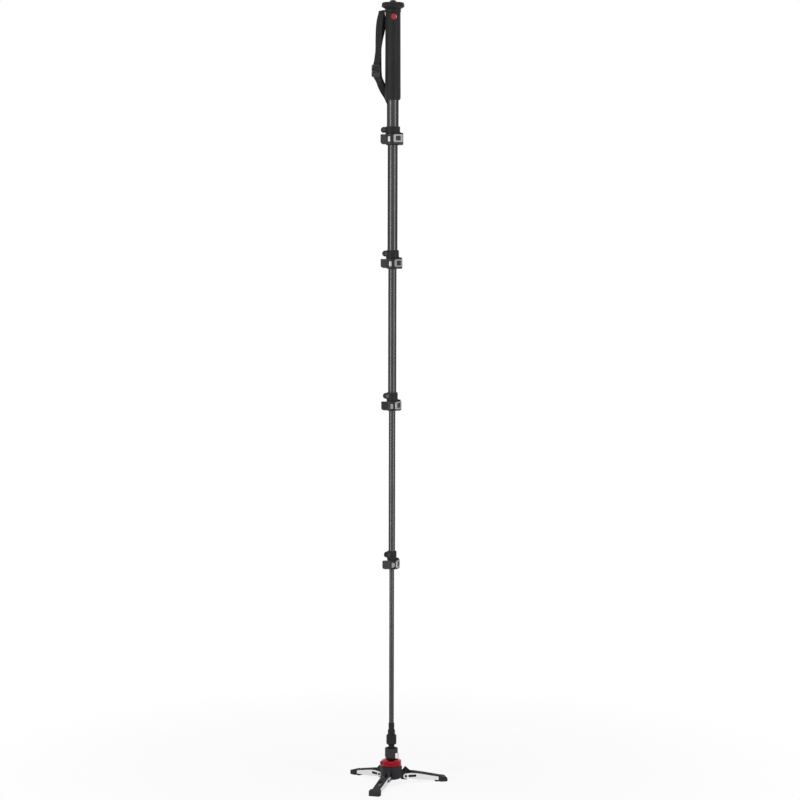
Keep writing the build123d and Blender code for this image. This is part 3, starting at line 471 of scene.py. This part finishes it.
def carbon_tube(colors, radius):
    """Lacquered carbon fibre: a fine twill of tows under gloss."""
    sockets = {"Metallic": 1.0, "Specular Tint": (0.0, 0.0, 0.0, 1.0), "Coat Roughness": 0.1}
    tube = Finish("carbon_tube", sockets)
    x, y, z = tube.axes()
    turn = tube.add("ShaderNodeMath", {"operation": "ARCTAN2"}, {0: y, 1: x})
    tows = round(2 * math.pi * radius / TOW_WIDTH)
    across = turn * (tows / (2 * math.pi))
    along = z * (1 / TOW_WIDTH)
    diagonal = ((across + along) * 0.25).fraction()
    weave = diagonal.above(0.5)
    fibre_across = (across * 6 * math.pi).sin() * 0.5 + 0.5
    fibre_along = (along * 6 * math.pi).sin() * 0.5 + 0.5
    fibres = weave * fibre_across + (1 - weave) * fibre_along
    cloud = tube.noise(0.035, 4.0, 0.6, tube.stretched((1, 1, 0.35)))
    amount = weave * 0.30 + fibres * 0.15 + cloud * 0.45
    tube.color(tube.blend(amount.kept(), colors.carbon, colors.tow))
    smear = tube.noise(0.006, 2.0)
    tube.roughness(0.22 + smear * 0.06 + weave * 0.03)
    tube.relief(fibres, 0.00001, 0.4)
    tube.feed(tube.shader.inputs["Coat Weight"], 0.08)
    return tube.material


def powder_coat(color, name="powder_coat"):
    """Black powder coat: fine orange peel, with a little wear."""
    coat = Finish(name, {"IOR": 1.45, "Specular IOR Level": 0.18})
    peel = coat.noise(0.0007, 2.0, 0.6)
    patch = coat.noise(0.012, 4.0, 0.6)
    dust = coat.ramp(coat.noise(0.0022, 5.0, 0.7), (0.60, 0.0), (0.78, 1.0))
    coat.color(coat.blend((patch * 0.5 + dust * 0.25).kept(), color, shade(color, 1.9)))
    coat.roughness(0.44 + patch * 0.16)
    coat.relief(peel, 0.00006, 0.5)
    return coat.material


def moulded_black(color, name="moulded_black"):
    """Black plastic with a fine spark-eroded texture."""
    plastic = Finish(name, {"IOR": 1.47, "Specular IOR Level": 0.32})
    grain = plastic.noise(0.0005, 3.0, 0.65)
    patch = plastic.noise(0.02, 3.0, 0.5)
    rubbed = plastic.ramp(plastic.noise(0.004, 6.0, 0.7), (0.58, 0.0), (0.72, 1.0))
    amount = (patch * 0.4 + rubbed * 0.25).kept()
    plastic.color(plastic.blend(amount, color, shade(color, 1.8)))
    plastic.roughness(0.40 + grain * 0.10 - rubbed * 0.08)
    plastic.relief(grain, 0.00005, 0.6)
    return plastic.material


def soft_grip(colors):
    """Soft-touch grip rubber: a matte skin with closed pores."""
    grip = Finish("soft_grip", {"IOR": 1.45, "Specular IOR Level": 0.22})
    pores = grip.cells(0.0011)
    skin = grip.noise(0.0006, 3.0, 0.7)
    patch = grip.noise(0.03, 4.0, 0.55, grip.stretched((1, 1, 0.5)))
    handled = grip.ramp(patch, (0.40, 0.0), (0.75, 1.0))
    grip.color(grip.blend((handled * 0.5 + skin * 0.2).kept(), colors.grip, shade(colors.grip, 1.7)))
    grip.roughness(0.50 + skin * 0.10 - handled * 0.06)
    grip.relief(pores * 0.6 + skin * 0.4, 0.00012, 0.5)
    return grip.material


def foot_rubber(colors):
    """Matte black rubber with dusty patches."""
    rubber = Finish("foot_rubber", {"IOR": 1.45, "Specular IOR Level": 0.14})
    grain = rubber.noise(0.0008, 3.0, 0.7)
    dust = rubber.ramp(rubber.noise(0.008, 6.0, 0.7), (0.50, 0.0), (0.75, 1.0))
    rubber.color(rubber.blend((dust * 0.5).kept(), colors.rubber, shade(colors.rubber, 2.2)))
    rubber.roughness(0.68 + dust * 0.15)
    rubber.relief(grain, 0.0001, 0.5)
    return rubber.material


def ribbed_rubber(colors):
    """The plate's pad: rubber with fine rings round its middle."""
    rubber = Finish("ribbed_rubber", {"IOR": 1.45, "Specular IOR Level": 0.2})
    x, y, _ = rubber.axes()
    rings = (((x * x + y * y) ** 0.5) * (2 * math.pi / PAD_RING_PITCH)).sin() * 0.5 + 0.5
    grain = rubber.noise(0.0008, 3.0, 0.7)
    dust = rubber.ramp(rubber.noise(0.005, 5.0, 0.7), (0.50, 0.0), (0.75, 1.0))
    amount = (rings * 0.35 + dust * 0.4).kept()
    rubber.color(rubber.blend(amount, shade(colors.rubber, 0.7), shade(colors.rubber, 1.9)))
    rubber.roughness(0.62 + dust * 0.15)
    rubber.relief(rings * 0.85 + grain * 0.15, 0.0004, 0.8)
    return rubber.material


def satin_silver(color, name, grain_scale, channel_shade=None):
    """Satin aluminium with fine drawn lines; an optional direction and reach give painted shade, a
    non-metallic black, inside a leg's channel.
    """
    silver = Finish(name, {"IOR": 1.5})
    lines = silver.noise(0.00035, 3.0, 0.7, silver.stretched(grain_scale))
    patch = silver.noise(0.015, 4.0, 0.6)
    tarnish = silver.ramp(patch, (0.45, 0.0), (0.80, 1.0))
    bare = silver.blend((tarnish * 0.5).kept(), color, shade(color, 0.82))
    metal = 0.85
    # The inside of the channel is painted shade: black and not metallic, standing in for its shadow
    if channel_shade:
        x, y, _ = silver.axes()
        (side_x, side_y, _), reach = channel_shade
        outside = (x * side_x + y * side_y).absolute().above(reach)
        bare = silver.blend(outside, CHANNEL_SHADE_COLOR, bare)
        metal = outside * metal
    silver.color(bare)
    silver.metallic(metal)
    silver.roughness(0.30 + lines * 0.14 + tarnish * 0.08)
    silver.relief(lines, 0.00001, 0.4)
    return silver.material


def plated_steel(colors):
    """Zinc-plated steel with tool marks."""
    steel = Finish("plated_steel", {"Metallic": 1.0, "IOR": 1.5})
    marks = steel.noise(0.0004, 4.0, 0.7, steel.stretched((0.2, 0.2, 2.0)))
    patch = steel.noise(0.004, 3.0)
    steel.color(steel.blend((patch * 0.6).kept(), colors.steel, shade(colors.steel, 0.6)))
    steel.roughness(0.28 + marks * 0.20)
    steel.relief(marks, 0.00002, 0.4)
    return steel.material


def dark_pin(colors):
    """Blackened steel pins."""
    steel = Finish("dark_pin", {"Metallic": 0.8, "IOR": 1.5})
    marks = steel.noise(0.0006, 4.0, 0.7)
    steel.color(steel.blend(marks, shade(colors.steel, 0.08), shade(colors.steel, 0.25)))
    steel.roughness(0.35 + marks * 0.15)
    steel.relief(marks, 0.00002, 0.4)
    return steel.material


def red_lacquer(color, metal, name="red_lacquer"):
    """Gloss red over bright metal, with fine flake under a clear coat."""
    paint = Finish(name, {"IOR": 1.5, "Metallic": metal, "Coat Roughness": 0.06, "Coat IOR": 1.35})
    flake = paint.cells(0.0005)
    cloud = paint.noise(0.01, 3.0)
    paint.color(paint.blend((flake * 0.25 + cloud * 0.2).kept(), color, shade(color, 1.5)))
    paint.roughness(0.17 + cloud * 0.06)
    paint.relief(paint.noise(0.0012, 2.0), 0.00002, 0.3)
    paint.feed(paint.shader.inputs["Coat Weight"], 0.4)
    return paint.material


def natural_acetal():
    """Milky plastic of the hidden liners and bushes."""
    acetal = Finish("natural_acetal", {"IOR": 1.48})
    cloud = acetal.noise(0.004, 3.0)
    acetal.color(acetal.blend(cloud, ACETAL, ACETAL_SHADE))
    acetal.roughness(0.38 + cloud * 0.12)
    acetal.relief(acetal.noise(0.0006, 2.0), 0.00003, 0.4)
    return acetal.material


def woven_webbing(colors):
    """Nylon webbing: ribs across the width and warp threads along it, on the strap's own map."""
    cloth = Finish("woven_webbing", {"IOR": 1.45, "Specular IOR Level": 0.2})
    uv = cloth.add("ShaderNodeUVMap", {"uv_map": "strap"})
    across, along, _ = cloth.axes(uv)
    rib = (along * (2 * math.pi / RIB_PITCH)).sin() * 0.5 + 0.5
    warp = (across * (2 * math.pi / WARP_PITCH)).sin() * 0.5 + 0.5
    lift = ((along * (1 / RIB_PITCH)).floor() * 0.5).fraction()
    over = (((across * (1 / WARP_PITCH)).floor() * 0.5).fraction() - lift).absolute().above(0.2)
    thread = over * warp + (1 - over) * rib
    fuzz = cloth.noise(0.0008, 4.0, 0.7)
    worn = cloth.noise(0.012, 4.0, 0.6)
    amount = thread * 0.55 + fuzz * 0.25 + worn * 0.25 - 0.1
    cloth.color(cloth.blend(amount.kept(), shade(colors.webbing, 0.45), shade(colors.webbing, 1.5)))
    cloth.roughness(0.78 + fuzz * 0.12)
    cloth.relief(thread * 0.8 + fuzz * 0.2, 0.00018, 0.7)
    cloth.feed(cloth.shader.inputs["Sheen Weight"], 0.25)
    return cloth.material


def stitch_thread(colors):
    """Polyester thread, twisted."""
    thread = Finish("stitch_thread", {"IOR": 1.45, "Specular IOR Level": 0.3})
    x, y, z = thread.axes()
    twist = ((x + y + z) * (2 * math.pi / TWIST_PITCH)).sin() * 0.5 + 0.5
    thread.color(thread.blend(twist, shade(colors.webbing, 0.8), shade(colors.webbing, 2.4)))
    thread.roughness(0.6 + twist * 0.1)
    thread.relief(twist, 0.00005, 0.5)
    return thread.material


# Meshes


def new_piece(name, shape, material, body):
    """Turns a bmesh into an object that rides on a body."""
    mesh = bpy.data.meshes.new(name)
    shape.to_mesh(mesh)
    shape.free()
    piece = bpy.data.objects.new(name, mesh)
    bpy.context.scene.collection.objects.link(piece)
    piece.data.materials.append(material)
    for polygon in mesh.polygons:
        polygon.use_smooth = True
    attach(piece, body)
    return piece


def dress(nodes, material):
    """Gives CAD nodes a material."""
    for name in nodes:
        node = NODES[name]
        node.data.materials.clear()
        node.data.materials.append(material)


def clean(shape):
    """Merges doubles, then turns every face outwards."""
    bmesh.ops.remove_doubles(shape, verts=shape.verts, dist=1e-6)
    bmesh.ops.recalc_face_normals(shape, faces=shape.faces)


def sharpen(piece, angle=35):
    """Keeps a piece's hard edges hard under smooth shading."""
    piece.data.set_sharp_from_angle(angle=math.radians(angle))


def strap_place(reach, depth, drop):
    """A place on the strap, measured from the middle of the ring it hangs from."""
    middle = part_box("strap_ring")[1].z - RING_HALF_HEIGHT
    return Vector((reach * MM, depth * MM, middle - drop * MM))


def strap_stations():
    """Middle points and sideways directions of the webbing, from one sewn end to the other."""
    stations = []
    for reach, depth, drop, tilt in STRAP_PLACES:
        tilted = Matrix.Rotation(-math.radians(tilt), 3, "Y")
        stations.append((strap_place(reach, depth, drop), tilted @ Vector((1, 0, 0))))
    return stations


def smooth_path(stations, step):
    """A smooth curve through the stations, cut into even steps; each slope comes from both sides."""
    slopes = []
    for index, (place, _) in enumerate(stations):
        before = stations[max(0, index - 1)][0]
        after = stations[min(len(stations) - 1, index + 1)][0]
        slopes.append((after - before) / ((place - before).length + (after - place).length))
    path = []
    for index, ((start, start_side), (end, end_side)) in enumerate(zip(stations, stations[1:])):
        span = (end - start).length
        count = max(1, round(span / step))
        for part in range(count):
            t = part / count
            place = start * (1 - 3 * t**2 + 2 * t**3) + end * (3 * t**2 - 2 * t**3)
            place += slopes[index] * span * (t - 2 * t**2 + t**3)
            place += slopes[index + 1] * span * (t**3 - t**2)
            path.append((place, start_side.lerp(end_side, t).normalized()))
    path.append(stations[-1])
    return path


# Operators


class MONOPOD_OT_finish_column(bpy.types.Operator):
    """Lacquers the tubes and finishes what is fixed to them"""

    bl_idname = "monopod.finish_column"
    bl_label = "Finish Column"

    def execute(self, context):
        colors = context.scene.monopod_finishes
        for section in range(1, 6):
            low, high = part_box(f"tube_{section}")
            dress([f"tube_{section}"], carbon_tube(colors, (high[0] - low[0]) / 2))
        dress([f"guide_bush_{section}" for section in range(2, 6)], natural_acetal())
        coat = powder_coat(colors.powder)
        dress(["tube_end_fitting", "column_block", "ball_stem"], coat)
        return {"FINISHED"}


class MONOPOD_OT_finish_clamps(bpy.types.Operator):
    """Finishes the four flip-lock clamps"""

    bl_idname = "monopod.finish_clamps"
    bl_label = "Finish Clamps"

    def execute(self, context):
        colors = context.scene.monopod_finishes
        inlay = satin_silver(colors.inlay, "link_silver", BRUSHED)
        dress([f"clamp_{number}_collar" for number in CLAMPS], powder_coat(colors.powder))
        dress([f"clamp_{number}_lever" for number in CLAMPS], moulded_black(colors.moulding))
        dress([f"clamp_{number}_link" for number in CLAMPS], inlay)
        dress([f"clamp_{number}_shim" for number in CLAMPS], natural_acetal())
        dress([f"clamp_{number}_hinge_pin" for number in CLAMPS], plated_steel(colors))
        dress([f"clamp_{number}_pinch_bolt" for number in CLAMPS], dark_pin(colors))
        return {"FINISHED"}


class MONOPOD_OT_finish_head(bpy.types.Operator):
    """Finishes the top plate, the grip and its badge"""

    bl_idname = "monopod.finish_head"
    bl_label = "Finish Head"

    def execute(self, context):
        colors = context.scene.monopod_finishes
        dress(["top_plate", "strap_ring"], powder_coat(colors.powder))
        dress(["plate_pad"], ribbed_rubber(colors))
        dress(["grip_sleeve"], soft_grip(colors))
        dress(["grip_badge"], red_lacquer(shade(colors.red, 1.6), 0.2, "badge_red"))
        dress(["head_plug"], moulded_black(colors.moulding))
        dress(["strap_buckle"], moulded_black(shade(colors.moulding, 2.2), "buckle_black"))
        return {"FINISHED"}


class MONOPOD_OT_finish_base(bpy.types.Operator):
    """Finishes the ball cup, the pan ring and the hub"""

    bl_idname = "monopod.finish_base"
    bl_label = "Finish Base"

    def execute(self, context):
        colors = context.scene.monopod_finishes
        dress(["socket_cup"], powder_coat(shade(colors.powder, 2.2), "cup_coat"))
        dress(["leg_hub"], powder_coat(HUB_COLOR, "hub_coat"))
        dress(["ball_liner", "pan_cartridge"], natural_acetal())
        dress(["cup_button"], satin_silver(colors.silver, "button_silver", BRUSHED))
        dress(["pan_ring"], red_lacquer(colors.red, 1.0))
        dress(["hub_cover"], moulded_black(colors.moulding))
        dress(["leg_pins"], dark_pin(colors))
        return {"FINISHED"}


class MONOPOD_OT_finish_legs(bpy.types.Operator):
    """Finishes the three legs and their rubber"""

    bl_idname = "monopod.finish_legs"
    bl_label = "Finish Legs"

    def execute(self, context):
        colors = context.scene.monopod_finishes
        axes = {joint["name"]: joint["axis"] for joint in frame["joints"]}
        rubber = foot_rubber(colors)
        for side in SIDES:
            fold = axes[f"leg_{side}_fold"]
            # Each leg's channel gets painted shade, black, on its inner faces
            channel_shade = (fold, CHANNEL_SHADE_REACH)
            dress([f"leg_{side}_frame"], satin_silver(colors.silver, f"leg_{side}_silver", DRAWN, channel_shade))
            self.close_slots(side, fold, rubber)
        dress([f"leg_{side}_rubber" for side in SIDES], rubber)
        return {"FINISHED"}

    def close_slots(self, side, fold, rubber):
        """Rubber pads that close the slots in a leg's two side plates from inside."""
        sideways = Vector(fold)
        outwards = sideways.cross(Vector((0, 0, 1)))
        low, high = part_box(f"leg_{side}_frame")
        if outwards.dot((low + high) / 2) < 0:
            outwards.negate()
        shape = bmesh.new()
        bmesh.ops.create_cube(shape, size=1.0, matrix=Matrix.Diagonal((*SLOT_PAD_SIZE, 1.0)))
        across = [edge for edge in shape.edges if edge.verts[0].co.y * edge.verts[1].co.y < 0]
        bmesh.ops.bevel(
            shape, geom=across, offset=SLOT_PAD_CORNER, segments=5, profile=0.5, affect="EDGES",
            material=-1,
        )
        first = shape.verts[:]
        twin = bmesh.ops.duplicate(shape, geom=shape.verts[:] + shape.edges[:] + shape.faces[:])["geom"]
        second = [part for part in twin if isinstance(part, bmesh.types.BMVert)]
        bmesh.ops.translate(shape, verts=first, vec=(0, -SLOT_PAD_SIDE, 0))
        bmesh.ops.translate(shape, verts=second, vec=(0, SLOT_PAD_SIDE, 0))
        for vert in shape.verts:
            vert.co += Vector((SLOT_PAD_REACH, 0, SLOT_PAD_HEIGHT))
            vert.co = outwards * vert.co.x + sideways * vert.co.y + Vector((0, 0, vert.co.z))
        clean(shape)
        pads = new_piece(f"leg_{side}_slot_pads", shape, rubber, f"leg_{side}")
        sharpen(pads)


class MONOPOD_OT_make_stud(bpy.types.Operator):
    """Cuts the thread of the camera stud"""

    bl_idname = "monopod.make_stud"
    bl_label = "Make Stud"

    def execute(self, context):
        sizes = context.scene.monopod_sizes
        low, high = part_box("camera_screw")
        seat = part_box("top_plate")[1].z
        root = (high.x - low.x) / 2 - sizes.thread_depth
        shape = self.wind_thread(sizes, root, seat, high.z)
        self.cut_off(shape, seat - STUD_SINK, -1)
        self.cut_off(shape, high.z - STUD_CHAMFER, 1)
        self.close_ends(shape, (seat + high.z) / 2, root - STUD_TIP_INSET, high.z)
        clean(shape)
        steel = plated_steel(context.scene.monopod_finishes)
        stud = new_piece("threaded_stud", shape, steel, "upper")
        sharpen(stud, 40)
        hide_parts("camera_screw")
        return {"FINISHED"}

    def wind_thread(self, sizes, root, seat, top):
        """An open thread that starts one pitch below the seat and ends above the top."""
        pitch = sizes.thread_pitch
        turns = math.ceil((top - seat) / pitch) + 2
        start = seat - pitch
        shape = bmesh.new()
        ring = [
            shape.verts.new((root + crest * sizes.thread_depth, 0, start + share * pitch))
            for crest, share in THREAD_PROFILE
        ]
        edges = [shape.edges.new(pair) for pair in zip(ring, ring[1:])]
        bmesh.ops.spin(
            shape, geom=ring + edges, cent=(0, 0, 0), axis=(0, 0, 1), dvec=(0, 0, pitch / THREAD_STEPS),
            angle=2 * math.pi * turns, steps=THREAD_STEPS * turns, use_merge=False,
        )
        bmesh.ops.remove_doubles(shape, verts=shape.verts, dist=1e-7)
        return shape

    def cut_off(self, shape, height, way):
        """Takes away what lies above a height where the way is 1, or below it where it is -1."""
        geometry = shape.verts[:] + shape.edges[:] + shape.faces[:]
        bmesh.ops.bisect_plane(
            shape, geom=geometry, plane_co=(0, 0, height), plane_no=(0, 0, way), clear_outer=True
        )

    def close_ends(self, shape, middle, tip_radius, top):
        """Closes the lower end flat, and the upper one with a chamfer up to its tip."""
        rims = [edge for edge in shape.edges if edge.is_boundary]
        upper = [edge for edge in rims if edge.verts[0].co.z > middle]
        bmesh.ops.edgeloop_fill(shape, edges=[edge for edge in rims if edge not in upper])
        chamfer = bmesh.ops.extrude_edge_only(shape, edges=upper)["geom"]
        for vert in [part for part in chamfer if isinstance(part, bmesh.types.BMVert)]:
            vert.co = Vector((vert.co.x, vert.co.y, 0)).normalized() * tip_radius
            vert.co.z = top
        bmesh.ops.edgeloop_fill(shape, edges=[edge for edge in shape.edges if edge.is_boundary])


class MONOPOD_OT_make_strap(bpy.types.Operator):
    """Threads the wrist strap's webbing over its arm and through the buckle"""

    bl_idname = "monopod.make_strap"
    bl_label = "Make Strap"

    def execute(self, context):
        sizes = context.scene.monopod_sizes
        colors = context.scene.monopod_finishes
        shape, travelled = self.lay_ribbon(smooth_path(strap_stations(), PATH_STEP), sizes.width)
        strap = new_piece("wrist_webbing", shape, woven_webbing(colors), "upper")
        solid = strap.modifiers.new("thickness", "SOLIDIFY")
        solid.thickness = sizes.thickness
        solid.offset = 0.0
        edge = strap.modifiers.new("edge", "BEVEL")
        edge.width = WEBBING_EDGE
        edge.segments = 2
        edge.limit_method = "ANGLE"
        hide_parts("wrist_strap")
        seam = self.make_seam(sizes, colors)
        return {"FINISHED"}

    def lay_ribbon(self, path, width):
        """A flat ribbon along a path, mapped in metres, and how far along each of its rows lies."""
        travelled = [0.0]
        for (start, _), (end, _) in zip(path, path[1:]):
            travelled.append(travelled[-1] + (end - start).length)
        rows = len(path) - 1
        shape = bmesh.new()
        bmesh.ops.create_grid(shape, x_segments=WEBBING_COLUMNS, y_segments=rows, size=0.5)
        layer = shape.loops.layers.uv.new("strap")
        for face in shape.faces:
            for loop in face.loops:
                row = round((loop.vert.co.y + 0.5) * rows)
                loop[layer].uv = (loop.vert.co.x * width, travelled[row])
        for vert in shape.verts:
            centre, side = path[round((vert.co.y + 0.5) * rows)]
            vert.co = centre + side * (vert.co.x * width)
        bmesh.ops.recalc_face_normals(shape, faces=shape.faces)
        return shape, travelled

    def make_seam(self, sizes, colors):
        """The crossed box of stitches that joins the webbing's two ends behind the arm."""
        across, along = SEAM_WIDTH / 2, SEAM_HEIGHT / 2
        places = ((-across, -along), (across, -along), (across, along), (-across, along))
        corners = [Vector((x, 0, z)) for x, z in places]
        lines = list(zip(corners, corners[1:] + corners[:1]))
        lines += [(corners[0], corners[2]), (corners[1], corners[3])]
        middle = strap_place(SEAM_REACH, SEAM_DEPTH + sizes.thickness / MM / 2, SEAM_DROP)
        shape = bmesh.new()
        for start, end in lines:
            run = end - start
            count = round(run.length * MM / (sizes.stitch * STITCH_SPACING))
            for index in range(count):
                place = middle + (start + run * ((index + 0.5) / count)) * MM
                turn = run.to_track_quat("X", "Z").to_matrix().to_4x4()
                size = Matrix.Diagonal((sizes.stitch / 2, THREAD_RADIUS, THREAD_RADIUS, 1.0))
                bmesh.ops.create_uvsphere(
                    shape, u_segments=8, v_segments=5, radius=1.0,
                    matrix=Matrix.Translation(place) @ turn @ size,
                )
        return new_piece("strap_seam", shape, stitch_thread(colors), "upper")


class MONOPOD_OT_make_studio(bpy.types.Operator):
    """Sets up the floor, the lamps and the camera"""

    bl_idname = "monopod.make_studio"
    bl_label = "Make Studio"

    def execute(self, context):
        stage = context.scene.monopod_stage
        context.scene.view_settings.view_transform = "Standard"
        self.make_floor()
        self.make_world(context, stage.fill)
        for name, azimuth, radiance in (
            ("left_lamp", LEFT_LAMP_AZIMUTH, stage.left_lamp),
            ("right_lamp", RIGHT_LAMP_AZIMUTH, stage.right_lamp),
        ):
            turn = Matrix.Rotation(math.radians(azimuth), 3, "Z")
            place = turn @ Vector((0, -STRIP_DISTANCE, STRIP_SIZE[1] / 2))
            self.make_lamp(context, name, place, Vector((0, 0, place.z)), STRIP_SIZE, radiance)
        place = Vector((0, 0, TOP_LAMP_HEIGHT))
        self.make_lamp(context, "top_lamp", place, Vector((0, 0, 0)), TOP_LAMP_SIZE, stage.top_lamp)
        self.make_camera(context, stage)
        return {"FINISHED"}

    def make_floor(self):
        """White paper that the camera sees at full white, apart from the object's shadow on it."""
        shape = bmesh.new()
        bmesh.ops.create_circle(shape, cap_ends=True, segments=96, radius=FLOOR_RADIUS)
        mesh = bpy.data.meshes.new("studio_floor")
        shape.to_mesh(mesh)
        shape.free()
        floor = bpy.data.objects.new("studio_floor", mesh)
        bpy.context.scene.collection.objects.link(floor)
        paper = Finish("studio_paper", {"Roughness": 0.9, "Specular IOR Level": 0.0})
        grain = paper.noise(0.01, 2.0)
        paper.color(paper.blend(grain * 0.2, PAPER, PAPER_SHADE))
        x, y, _ = paper.axes()
        distance = (x * x + y * y) ** 0.5
        far = ((distance - SHADOW_REACH) / SHADOW_FADE).kept()
        glow = paper.add("ShaderNodeEmission", inputs={"Color": (1, 1, 1), "Strength": 1.0})
        share = paper.background() * (FLOOR_GLOW + far * (1 - FLOOR_GLOW))
        mixed = paper.add("ShaderNodeMixShader", inputs={0: share, 1: paper.surface, 2: glow})
        paper.feed(paper.output.inputs["Surface"], mixed)
        floor.data.materials.append(paper.material)

    def make_world(self, context, fill):
        """A white background whose light on the object is dimmer than it looks."""
        world = bpy.data.worlds.new("studio_world")
        context.scene.world = world
        world.use_nodes = True
        sky = Nodes(world.node_tree)
        strength = sky.background() * (1 - fill) + fill
        air = sky.add("ShaderNodeBackground", inputs={"Color": (1, 1, 1), "Strength": strength})
        sky.node("ShaderNodeOutputWorld", inputs={"Surface": air})

    def make_lamp(self, context, name, place, aim, size, radiance):
        """A flat lamp whose face has a given brightness."""
        light = bpy.data.lights.new(name, "AREA")
        light.shape = "RECTANGLE"
        light.size, light.size_y = size
        light.energy = radiance * math.pi * size[0] * size[1]
        lamp = bpy.data.objects.new(name, light)
        context.scene.collection.objects.link(lamp)
        lamp.rotation_euler = (aim - place).to_track_quat("-Z", "Y").to_euler()
        lamp.location = place

    def make_camera(self, context, stage):
        """The camera at the photograph's viewing angle."""
        lens = bpy.data.cameras.new("studio_camera")
        lens.sensor_width = SENSOR_WIDTH
        lens.lens = stage.focal_pixels * SENSOR_WIDTH / PICTURE_WIDTH
        lens.clip_end = 100.0
        camera = bpy.data.objects.new("studio_camera", lens)
        context.scene.collection.objects.link(camera)
        tilt = Matrix.Rotation(math.pi / 2 - stage.camera_pitch, 4, "X")
        roll = Matrix.Rotation(stage.camera_roll, 4, "Z")
        place = Matrix.Translation((stage.camera_side, -stage.camera_distance, stage.camera_height))
        camera.matrix_world = place @ tilt @ roll
        context.scene.camera = camera


# Panel and registration


class MONOPOD_PT_parts(bpy.types.Panel):
    """Lists what makes the monopod's looks"""

    bl_idname = "MONOPOD_PT_parts"
    bl_label = "Monopod"
    bl_space_type = "VIEW_3D"
    bl_region_type = "UI"
    bl_category = "Monopod"

    def draw(self, context):
        for operator in STEPS:
            self.layout.operator(operator.bl_idname)
        scene = context.scene
        for group in (scene.monopod_finishes, scene.monopod_sizes, scene.monopod_stage):
            box = self.layout.box()
            for name in group.__annotations__:
                box.prop(group, name)


STEPS = (
    MONOPOD_OT_finish_column,
    MONOPOD_OT_finish_clamps,
    MONOPOD_OT_finish_head,
    MONOPOD_OT_finish_base,
    MONOPOD_OT_finish_legs,
    MONOPOD_OT_make_stud,
    MONOPOD_OT_make_strap,
    MONOPOD_OT_make_studio,
)
GROUPS = (MonopodFinishes, MonopodSizes, MonopodStage)


def register():
    for kind in (*GROUPS, *STEPS, MONOPOD_PT_parts):
        bpy.utils.register_class(kind)
    bpy.types.Scene.monopod_finishes = bpy.props.PointerProperty(type=MonopodFinishes)
    bpy.types.Scene.monopod_sizes = bpy.props.PointerProperty(type=MonopodSizes)
    bpy.types.Scene.monopod_stage = bpy.props.PointerProperty(type=MonopodStage)


def unregister():
    del bpy.types.Scene.monopod_stage
    del bpy.types.Scene.monopod_sizes
    del bpy.types.Scene.monopod_finishes
    for kind in (MONOPOD_PT_parts, *STEPS[::-1], *GROUPS[::-1]):
        bpy.utils.unregister_class(kind)


def main():
    register()
    for operator in STEPS:
        group, name = operator.bl_idname.split(".")
        getattr(getattr(bpy.ops, group), name)()


if __name__ == "__main__":
    main()
